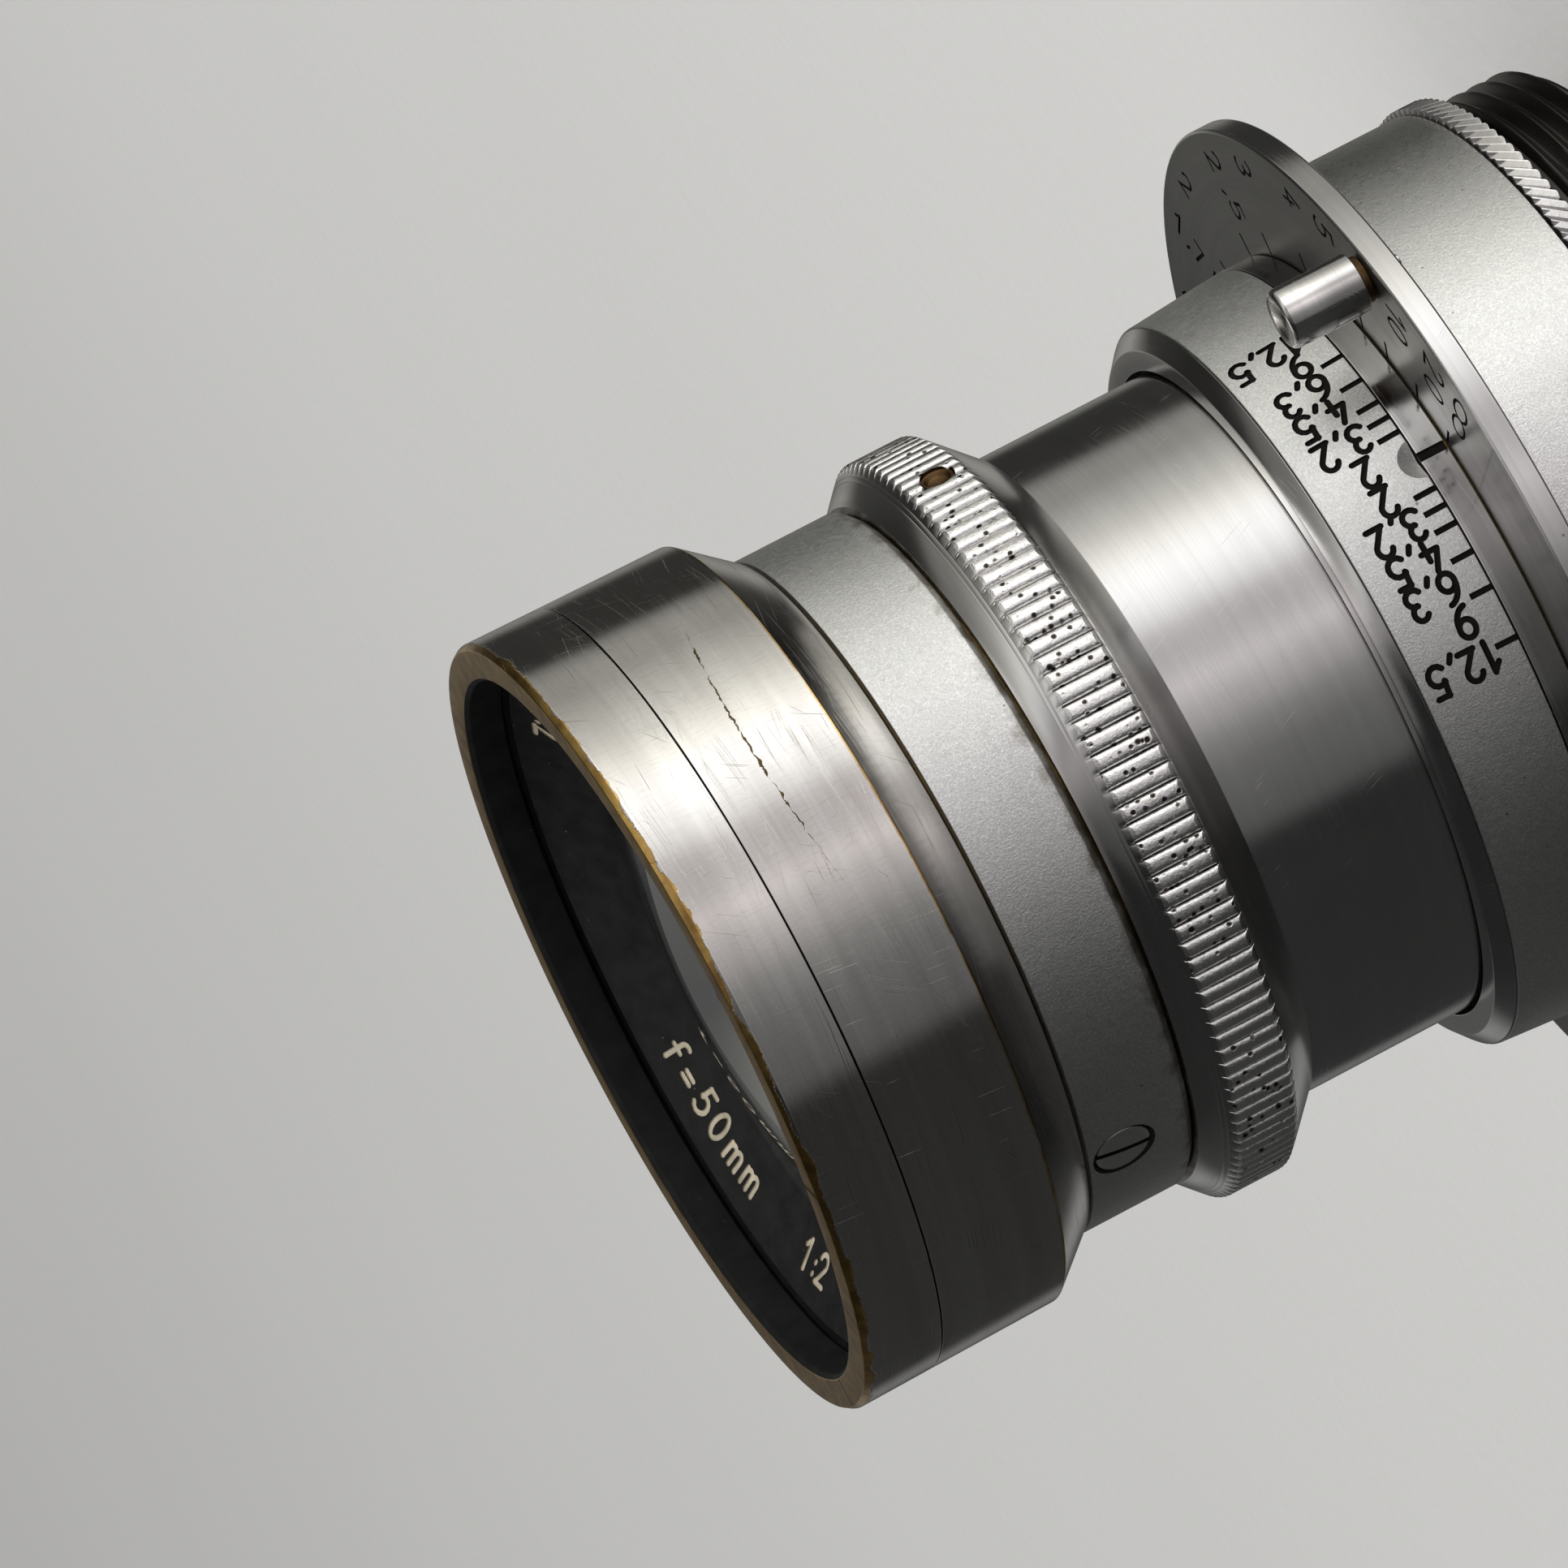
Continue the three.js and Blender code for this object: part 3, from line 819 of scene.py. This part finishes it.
def plain_rings():
    """Every ring that needs no more than its section and its material."""
    for node, material in RINGS.items():
        made = ring(node, [material, INNER_BLACK])
        if material == NICKEL:
            blacken_inside(made)
        if node == "focusing_sleeve":
            cut_keyway(made)


def carried_over():
    """The two CAD solids that are shown as they are get their materials."""
    for node, material in (("sleeve_guide_key", POLISHED), ("iris_pivot_plate", BRASS_LOOK)):
        slots = frame["nodes"][node].data.materials
        slots.clear()
        slots.append(material)


# ---- mount: thread and serrated grip ----
def screw_mount():
    """A thread, darkened as painted shade, behind a ring of fine serrations, in one CAD node's section."""
    section = outline("screw_mount_ring")
    grip_r, low, top = reach("screw_mount_ring")
    seat = section[section[:, 0] > grip_r - 0.01, 1].min()
    thread_r = section[section[:, 1] < seat - 0.5, 0].max()
    lip = section[:, 0].min()
    lip_top = section[section[:, 0] < lip + 0.01, 1].max()
    spigot = section[section[:, 1] > top - 0.01, 0].min()
    mount_thread(thread_r, low, seat, spigot, lip, lip_top)
    grip_serration(grip_r, seat, top, spigot)


def mount_thread(radius, low, seat, spigot, lip, lip_top):
    """26 threads per inch, with rounded crests, near-black as painted shade."""
    pitch = 25.4 / 26
    depth = 0.5
    sides = 192
    phase = np.arange(sides) / sides
    relief_r = radius - depth
    rows = [(lip, low, 0), (relief_r, low, 0)]
    for z in np.arange(low + 0.12, seat - 0.6, pitch / 12):
        wave = np.abs((z / pitch - phase) % 1 - 0.5) * 2
        rows.append((radius - depth * np.clip(1.15 - 1.3 * wave, 0, 1), z, 0))
    inside = seat - 0.5
    rows += [(relief_r, seat - 0.55, 0), (relief_r, seat, 0), (spigot, seat, 0),
             (spigot, inside, 0), (lip + 1.2, inside, 0), (lip + 1.2, lip_top, 0), (lip, lip_top, 0)]
    piece("mount_thread", "screw_mount_ring", around(rows, sides), [THREAD_PAINTED_SHADE], sharp=40,
          hides_node=False)


def grip_serration(radius, seat, top, spigot):
    """Saw-shaped teeth that slant round the ring."""
    teeth = 156
    per_tooth = 10
    height = 0.34
    slant = 3.15  # degrees for each millimetre of width
    t = np.arange(teeth * per_tooth) / per_tooth % 1
    crest = radius - height + height * np.where(t < 0.12, t / 0.12, (1 - t) / 0.88)
    root = radius - height - 0.15
    rise = top - seat
    rows = [(spigot + 0.05, seat, 0), (root, seat, 0), (crest - 0.03, seat, 0)]
    for share in np.linspace(0.04, 0.94, 8):
        rows.append((crest, seat + rise * share, slant * rise * share))
    rows += [(crest - 0.06, top - 0.07, slant * rise), (root, top, slant * rise),
             (spigot + 0.05, top, slant * rise)]
    piece("grip_serration", "screw_mount_ring", around(rows, teeth * per_tooth), [STEEL_LOOK],
          sharp=28)


# ---- focusing: flange, knob and scales ----
def focus_angle(metres):
    """How far the flange turns from infinity, for a 50 mm lens on its helicoid."""
    ratio = next(c["ratio"] for c in frame["record"]["behaviour"]["couplings"]
                 if c["joint"] == "focus_travel")
    travel = 50**2 / (1000 * metres - 50)
    return math.degrees(travel * MM / ratio)


def distance_flange():
    """A polished rim round a duller face, darker as painted shade, with a hole for the post and the distances."""
    made = ring("distance_flange", [STEEL_LOOK, INK_AND_PAINTED_SHADE, DULL_STEEL_PAINTED_SHADE])
    # The front face gets the darker steel: painted shade.
    for face in made.data.polygons:
        if face.normal.z > 0.9:
            face.material_index = 2
    front = reach("distance_flange")[2]
    knob = middle("knob_post")
    hole = bore(0.85, front - 3, 0.85, front + 1)
    cut(made, [placed(hole, Matrix.Translation((knob.x, knob.y, 0)))])
    engrave(made, distance_marks(front))
    true_normals(made)


def distance_marks(front):
    """A tick near the sleeve and a thin number outside it, for each distance in metres."""
    inner = outline("distance_flange")[:, 0].min()
    distances = {20: "20", 10: "10", 7: "7", 5: "5", 4: "4", 3: "3", 2.5: "2,5", 2: "2",
                 1.75: "1,75", 1.5: "1,5", 1.25: "1,25", 1: "1"}
    marks = {0: "~", **{focus_angle(metres): text for metres, text in distances.items()}}
    stroke = 0.18
    depth = 0.08

    def place_at(angle, start_r):
        return lambda x, y, n: polar(start_r - x, math.radians(angle) - y / start_r, front + n)

    sets = []
    for angle, text in marks.items():
        here = INDEX_ANGLE + angle
        tick = groove([(0.1, 0), (1.15, 0)], stroke, place_at(here, inner + 1.35), depth, False)
        sets.append([[tick]])
        height, start, back = (2.6, 22.48, -2.1) if text == "~" else (1.6, 22.2, -4.45)
        base = here + back + math.degrees(height / 2 / start)
        sets.append(lettering(text, height, stroke, place_at(base, start), depth, 1.0))
    return sets


def index_ring():
    """A polished ring with the black line that the distances are read at."""
    made = ring("index_ring", [POLISHED, INK_AND_PAINTED_SHADE], 0.03)
    radius, low, high = reach("index_ring")

    def place(x, y, n):
        return polar(radius + n, math.radians(INDEX_ANGLE) - y / radius, low + x)

    line = groove([(-0.2, 0), (high - low + 0.2, 0)], 0.45, place, 0.1, False)
    cut(made, [line], inlay=1)
    true_normals(made)


# The stops of the depth-of-field scale. Each has its two ticks this far from the index, its
# numbers set back from the edge, and the middles of its right and left number.
STOPS = {"2": (4.9, 1.45, 1.7, -3.3), "3,2": (7.65, 0.95, 6.9, -8.1),
         "4,5": (10.55, 0.95, 12.5, -13.1), "6,3": (15.1, 0.95, 17.6, -18.2),
         "9": (20.55, 1.05, 22.8, -23.2), "12,5": (28.2, 0.75, 27.5, -29.0)}


def depth_scale():
    """The satin ring's stops, each mark cut on its own because neighbours touch, and the
    countersink at the index."""
    made = ring("depth_scale_ring", [SATIN, INK_AND_PAINTED_SHADE])
    radius, low, high = reach("depth_scale_ring")
    slope = (radius - reach("felt_light_seal")[0] - 1.12) / (high - low)
    height = 1.36
    stroke = 0.27

    def place_at(angle, start):
        def place(x, y, n):
            z = low + start + x
            r = radius - slope * (z - low)
            return polar(r + n, math.radians(INDEX_ANGLE + angle) - y / r, z)
        return place

    for text, (offset, start, right, left) in STOPS.items():
        for angle, centre in ((offset, right), (-offset, left)):
            tick = groove([(-0.2, 0), (1.02, 0)], stroke, place_at(angle, 0), 0.1, False)
            engrave(made, [[[tick]]])
            place = place_at(centre + math.degrees(height / 2 / radius), start + 0.3)
            engrave(made, [lettering(text, height, stroke, place, 0.11, 0.62, 0.52)])
    sink = bore(0.02, radius - 0.4, 1.5, radius + 0.2)
    cut(made, [placed(sink, radial_frame(INDEX_ANGLE, low))])
    true_normals(made)


def knob_stand():
    """The knob's own axis."""
    place = middle("lock_knob")
    return Matrix.Translation((place.x, place.y, 0))


def finger_knob():
    """A hollow cap with a dished tip and a thin pin, which slides on its post."""
    low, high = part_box("lock_knob")
    pin_low = low.z / MM
    top = high.z / MM
    radius = (high.x - low.x) / 2 / MM
    front = reach("distance_flange")[2]
    skirt = front + 0.45
    step = front + 0.9
    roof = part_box("knob_post")[1].z / MM + 1.05
    dish_r = radius - 0.3
    dish = [(x, top - 0.3 * (1 - (x / dish_r) ** 2)) for x in np.linspace(0.02, dish_r, 9)]
    rim = [(radius, top - 0.22), (radius - 0.06, top - 0.1), (radius - 0.16, top - 0.02)]
    cap = [(0.02, pin_low), (0.28, pin_low), (0.3, pin_low + 0.05), (0.3, roof), (0.92, roof),
           (0.92, step), (1.13, step), (1.13, skirt), (radius - 0.05, skirt),
           (radius, skirt + 0.05), *rim, (radius - 0.22, top), *reversed(dish)]
    piece("finger_knob", "lock_knob", lathe(cap, 96), [SMALL_STEEL], stand=knob_stand())


def knob_post():
    """The brown post that the cap slides on, with a collar just over the flange, dark as painted shade at the
    knob's base.
    """
    low, high = (corner.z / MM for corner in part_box("knob_post"))
    front = reach("distance_flange")[2]
    post = [(0.42, low), (0.78, low), (0.8, low + 0.03), (0.8, front + 0.05),
            (1.0, front + 0.07), (1.05, front + 0.12), (1.05, front + 0.4), (1.0, front + 0.45),
            (0.8, front + 0.47), (0.8, high - 0.05), (0.75, high), (0.42, high)]
    piece("fine_knob_post", "knob_post", lathe(post, 64), [BROWN], stand=knob_stand())


def knob_spring():
    """Three turns of wire on the post, which the pressed cap shortens."""
    low, high = (corner.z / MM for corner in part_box("lock_spring"))
    height = high - low
    turns = 3
    steps = 96
    corners = 8
    wire_r = 0.07
    coil_r = 0.6
    vertices = []
    for t in np.linspace(0, 1, steps + 1):
        turn = TURN * turns * t
        outward = Vector((math.cos(turn), math.sin(turn), 0))
        centre = outward * coil_r + Vector((0, 0, low + wire_r + (height - 2 * wire_r) * t))
        for a in np.arange(corners) * TURN / corners:
            across = outward * wire_r * math.cos(a)
            vertices.append(centre + across + Vector((0, 0, wire_r * math.sin(a))))
    coil = (vertices, tube_faces(steps + 1, corners))
    made = piece("knob_spring", "lock_spring", coil, [SMALL_STEEL], stand=knob_stand())
    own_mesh(made)


# ---- head: knurl, satin shell and screws ----
def knurled_grip():
    """Deep round ribs between turned bevels, with two fine lines on the front one."""
    ribs = 136
    per_rib = 14
    depth = 0.3
    section = outline("knurled_grip_ring")
    inner, low = section.min(axis=0)
    radius, high = section.max(axis=0)
    crest_z = section[section[:, 0] > radius - 0.01, 1]
    flat_low = crest_z.min()
    flat_high = crest_z.max()
    rear_r = section[section[:, 1] < low + 0.01, 0].max()
    front_r = section[section[:, 1] > high - 0.01, 0].max()
    drop = (flat_low - low) / (radius - rear_r)
    fall = (high - flat_high) / (radius - front_r)
    t = np.abs(np.arange(ribs * per_rib) / per_rib % 1 - 0.5) * 2
    rib = radius - depth * (1 - (1 - t**2.6) ** 0.5)
    low_end = flat_low - (radius - rib) * drop
    high_end = flat_high + (radius - rib) * fall
    rows = [(inner, low, 0), (rear_r - 0.05, low, 0), (rear_r + 0.03, low + 0.05, 0)]
    for r in (radius - 0.5, radius - depth - 0.05):
        rows.append((r, flat_low - (radius - r) * drop, 0))
    rows += [(rib - 0.02, low_end - 0.01, 0), (rib, low_end + 0.04, 0),
             (rib, (flat_low + flat_high) / 2, 0),
             (rib, high_end - 0.04, 0), (rib - 0.02, high_end + 0.01, 0)]
    for line_r in (radius - 0.45, radius - 0.62):
        for aside, dip in ((0.025, 0), (0, 0.03), (-0.025, 0)):
            r = line_r + aside
            rows.append((r, flat_high + (radius - r) * fall - dip, 0))
    rows += [(front_r + 0.04, high - 0.04, 0), (front_r, high, 0), (inner, high, 0)]
    made = piece("fine_knurled_grip", "knurled_grip_ring", around(rows, ribs * per_rib),
                 [KNURL, BROWN], sharp=34)
    index_cup(made, radius)


def index_cup(grip, radius):
    """The aperture's index: a small dished cup in a hole in the knurl."""
    pin = middle("aperture_index_pin")
    stand = radial_frame(heading(pin), pin.z)
    cut(grip, [placed(bore(0.78, radius - 0.6, 0.82, radius + 0.3), stand)], inlay=1)
    cup = [(0.02, radius - 0.6), (0.74, radius - 0.6), (0.74, radius - 0.14), (0.7, radius - 0.1),
           (0.6, radius - 0.12), (0.46, radius - 0.3), (0.25, radius - 0.36), (0.02, radius - 0.38)]
    section = softened(np.array(cup), 0.03)
    piece("index_cup", "aperture_index_pin", lathe(section, 64), [BROWN], stand=stand)


def satin_shell():
    """The head shell and its two screws, whose slots lean by different angles."""
    shell = ring("satin_head_shell", [SATIN, INK_AND_PAINTED_SHADE])
    for node, lean in (("head_screw_1", -12), ("head_screw_2", 63)):
        head_screw(shell, node, lean)
    true_normals(shell)


def head_screw(shell, node, lean):
    """A flush slotted screw in a countersunk pocket; the pocket's walls and the slot are black as painted shade.
    """
    surface = reach("satin_head_shell")[0]
    centre = middle(node)
    low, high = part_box(node)
    head_r = (high.z - low.z) / 2 / MM
    stand = radial_frame(heading(centre), centre.z)
    pocket = [(head_r + 0.05, surface - 0.9, 0), (head_r + 0.05, surface - 0.16, 0),
              (head_r + 0.26, surface + 0.1, 0), (head_r + 0.26, surface + 0.4, 0)]
    # Painted shade: the pocket's walls take the black.
    cut(shell, [placed(around(pocket, 64, closed=False), stand)], inlay=1)
    top = surface - 0.08
    crown = [(x, top + 0.06 * (1 - (x / head_r) ** 2)) for x in np.linspace(head_r - 0.08, 0.02, 8)]
    section = [(0.02, surface - 0.6), (head_r, surface - 0.6), (head_r, top - 0.08),
               (head_r - 0.03, top - 0.02), *crown]
    screw = piece("fine_" + node, node, lathe(section, 72), [SATIN_SCREW, INK_AND_PAINTED_SHADE], stand=stand)
    slot = groove([(-2, 0), (2, 0)], 0.26, lambda x, y, n: (x, y, top + n), 0.2, False)
    # Painted shade: the slot takes the black.
    cut(screw, [placed(slot, stand @ spin(lean))], inlay=1)


# ---- optics and iris ----
def dome(vertex, bend, span, steps=20):
    """Points of a spherical surface from the axis out. A positive bend drops to its rim."""
    radii = np.linspace(0.01, span, steps)
    sag = abs(bend) - np.sqrt(bend**2 - radii**2)
    return [(r, vertex - math.copysign(s, bend)) for r, s in zip(radii, sag)]


def lens(node, rear_bend, rear_span, front_bend, front_span):
    """A glass element whose surfaces touch the ends of its CAD box. A surface that is
    narrower than the element has a flat rim."""
    radius, low, high = reach(node)
    rear_sag = dome(0, rear_bend, rear_span)[-1][1]
    front_sag = dome(0, front_bend, front_span)[-1][1]
    rear = dome(low - min(rear_sag, 0), rear_bend, rear_span)
    front = dome(high - max(front_sag, 0), front_bend, front_span)
    rim = [(radius, rear[-1][1])] if rear_span < radius - 0.01 else []
    crown = [(radius, front[-1][1])] if front_span < radius - 0.01 else []
    section = [*rear, *rim, *crown, *reversed(front)]
    piece("fine_" + node, node, lathe(section, 144), [GLASS], sharp=25)


def optics():
    """Six elements in four groups, by the bend and width of their rear and front surfaces."""
    lens("front_element", 90, 13.4, 33, 13.4)
    lens("front_doublet_outer", 50, 11.6, 24, 11.6)
    lens("front_doublet_inner", 16, 8.8, 50, 11.6)
    lens("rear_doublet_inner", 500, 10.4, -16, 8.6)
    lens("rear_doublet_outer", -20, 10.4, 500, 10.4)
    lens("rear_element", -40, 10.4, 40, 10.4)


def name_ring():
    """The black cone inside the front, with the focal length and the aperture three times, in cream lettering
    dimmed as painted shade.
    """
    made = ring("name_ring", [BLACK, CREAM_PAINTED_SHADE])
    section = outline("name_ring")
    outer = section[section[:, 1].argmax()]
    inner = section[section[:, 0] < outer[0] - 2]
    inner = inner[inner[:, 1].argmax()]
    inward = (inner - outer) / np.hypot(*(inner - outer))
    above = np.array([inward[1], -inward[0]])

    def place_at(angle):
        def place(x, y, n):
            r, z = outer + inward * (1.1 + y) + above * n
            return polar(r, math.radians(angle) + x / (outer[0] - 1.6), z)
        return place

    sets = []
    for start in (72, 192, 312):
        for angle, text in ((start, "f=50mm"), (start + 46, "1:2")):
            sets.append(lettering(text, 1.4, 0.26, place_at(angle), 0.06, 0.9))
    engrave(made, sets)
    true_normals(made)


def blade_outline(pivot_r):
    """A crescent whose ends are round, the smaller one on the pivot."""
    inner_r = 8.7
    outer_r = 12.8
    middle_r = (inner_r + outer_r) / 2
    tip_r = (outer_r - inner_r) / 2
    tip = math.radians(128)
    return (arc(0, 0, outer_r, outer_r, 4, 126, 48)
            + arc(middle_r * math.cos(tip), middle_r * math.sin(tip), tip_r, tip_r, 128, 308, 12)
            + arc(0, 0, inner_r, inner_r, 126, -3, 48)
            + arc(pivot_r, 0, 0.85, 0.85, 255, 435, 14))


def iris_blades():
    """Six thin crescents, each turned on its pivot to the opening that the CAD has."""
    pivots = {joint["child"]: joint["pos_m"] for joint in frame["joints"]
              if joint["name"].endswith("_swing")}
    closing = 10.8
    thick = 0.12
    for number in range(1, 7):
        node = f"iris_blade_{number}"
        pivot = Vector(pivots[BODY_OF[node]]) / MM
        pivot_r = math.hypot(pivot.x, pivot.y)
        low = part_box(node)[0].z / MM
        stand = (Matrix.Translation((0, 0, low)) @ spin(heading(pivot))
                 @ Matrix.Translation((pivot_r, 0, 0)) @ spin(closing)
                 @ Matrix.Translation((-pivot_r, 0, 0)))
        blade = placed(prism(blade_outline(pivot_r), 0, thick), stand)
        made = piece("fine_" + node, node, blade, [BLUED])
        cut(made, [placed(bore(0.42, -1, 0.42, 1, 32), Matrix.Translation((pivot.x, pivot.y, low)))])


# ---- floor, light and camera ----
def stage():
    """A broad pale floor, which the metal doesn't mirror."""
    mesh = bpy.data.meshes.new("floor")
    half = 1.5
    corners = [(-half, -half, 0), (half, -half, 0), (half, half, 0), (-half, half, 0)]
    mesh.from_pydata(corners, [], [(0, 1, 2, 3)])
    mesh.materials.append(floor_card())
    floor = bpy.data.objects.new("floor", mesh)
    bpy.context.scene.collection.objects.link(floor)
    floor.visible_glossy = False
    floor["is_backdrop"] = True


def studio_tint(angle):
    """The colour of the studio's light by azimuth: warmer on one side."""
    if angle > 64:
        return 1.01, 1.0, 0.93
    if 4 < angle < 40:
        return 1.03, 0.98, 0.985
    return 1.0, 1.0, 0.99


VIEW_AZIMUTH = -112.05  # from the axis to the camera

# Soft boxes and dark flags round the lens: how bright the studio is, by azimuth from the
# camera, as polished metal mirrors it.
STUDIO = [(-180, 0.045), (-170, 0.045), (-164, 0.1), (-158, 0.1), (-150, 0.02), (-36, 0.015),
          (-30, 0.066), (-20, 0.08), (-10, 0.1), (0, 0.16), (8, 0.27), (12, 0.31), (20, 0.45),
          (26, 0.36), (32, 0.33), (38, 0.38), (44, 0.6), (50, 0.75), (56, 0.85), (62, 0.85),
          (68, 0.75), (74, 0.6), (80, 0.46), (90, 0.33), (102, 0.21), (112, 0.2), (117, 0.15),
          (122, 0.02), (154, 0.02), (163, 0.12), (171, 0.12), (180, 0.045)]
STUDIO_STRENGTH = 1.75

# How bright it is by the sine of the elevation. The lens walls mirror the row at -0.19, and
# the bead-blasted chrome also gathers the brighter rows beside it.
STUDIO_ROWS = [(-1, 0.3), (1, 0.45), (-0.75, 0.35), (-0.6, 1.1), (-0.45, 1.5), (-0.32, 1.05),
               (-0.26, 0.97), (-0.12, 0.97), (-0.05, 1.05), (0.08, 1.5), (0.25, 1.2), (0.5, 0.55)]


def studio():
    """A world that metal mirrors as soft boxes and flags. All else sees it plain and pale."""
    world = bpy.data.worlds.new("studio")
    bpy.context.scene.world = world
    world.use_nodes = True
    nodes = Nodes(world.node_tree)
    turned = nodes.add("ShaderNodeVectorRotate", rotation_type="Z_AXIS")
    nodes.fill(turned.inputs["Vector"], nodes.add("ShaderNodeTexCoord").outputs["Generated"])
    nodes.fill(turned.inputs["Angle"], math.radians(-VIEW_AZIMUTH))
    x, y, z = nodes.split(turned.outputs[0])
    stops = [((angle + 180) / 360, tuple(value * part for part in studio_tint(angle)))
             for angle, value in STUDIO]
    rows = [((sine + 1) / 2, (value,) * 3) for sine, value in STUDIO_ROWS]
    colour = nodes.ramp(nodes.span(nodes.math("ARCTAN2", y, x), -math.pi, math.pi), stops)
    strength = nodes.times(nodes.ramp(nodes.span(z, -1.0, 1.0), rows), STUDIO_STRENGTH)
    mirrored = nodes.put("ShaderNodeBackground", colour, strength)
    pale = nodes.put("ShaderNodeBackground", (0.62, 0.62, 0.61), 0.75)
    in_mirror = nodes.add("ShaderNodeLightPath").outputs["Is Glossy Ray"]
    end = nodes.add("ShaderNodeOutputWorld")
    nodes.fill(end.inputs[0], nodes.put("ShaderNodeMixShader", in_mirror, pale, mirrored))


def toward(azimuth, elevation):
    """The direction from the lens of an azimuth and an elevation."""
    a = math.radians(azimuth)
    e = math.radians(elevation)
    return Vector((math.cos(a) * math.cos(e), math.sin(a) * math.cos(e), math.sin(e)))


def soft_box(name, azimuth, elevation, distance, size, power):
    """A broad area light aimed at the lens. It lights the floor and the paint, while the
    metal mirrors the studio round it."""
    light = bpy.data.lights.new(name, "AREA")
    light.energy = power
    light.size = size
    box = bpy.data.objects.new(name, light)
    bpy.context.scene.collection.objects.link(box)
    way = toward(azimuth, elevation)
    box.location = way * distance
    box.rotation_mode = "QUATERNION"
    box.rotation_quaternion = way.to_track_quat("Z", "Y")
    box.visible_glossy = False


def camera():
    """A long lens from the left and a little in front, rolled so that the lens lies over."""
    aim = Vector((6.135, -2.565, 45.257)) * MM
    distance = 0.6101
    back = toward(VIEW_AZIMUTH, 11.11)
    right = (-back).cross(Vector((0, 0, 1))).normalized()
    up = right.cross(-back)
    roll = math.radians(117.43)
    rolled_up = up * math.cos(roll) + right * math.sin(roll)
    rolled_right = right * math.cos(roll) - up * math.sin(roll)
    data = bpy.data.cameras.new("camera")
    data.lens = 333.4
    data.sensor_width = 36
    data.clip_start = 0.01
    data.clip_end = 20
    made = bpy.data.objects.new("camera", data)
    bpy.context.scene.collection.objects.link(made)
    turn = Matrix((rolled_right, rolled_up, back)).transposed()
    made.matrix_world = Matrix.Translation(aim + back * distance) @ turn.to_4x4()
    bpy.context.scene.camera = made


plain_rings()
carried_over()
screw_mount()
distance_flange()
index_ring()
depth_scale()
finger_knob()
knob_post()
knob_spring()
knurled_grip()
satin_shell()
optics()
name_ring()
iris_blades()
stage()
studio()
soft_box("key", VIEW_AZIMUTH + 55, 42, 1.2, 0.9, 14)
soft_box("fill", VIEW_AZIMUTH - 70, 35, 1.4, 1.0, 5)
camera()
bpy.context.scene.view_settings.view_transform = "Standard"

boxes = {"cad": CAD_BOX, "visual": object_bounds()}
{name: [list(corner) for corner in box] for name, box in boxes.items()}
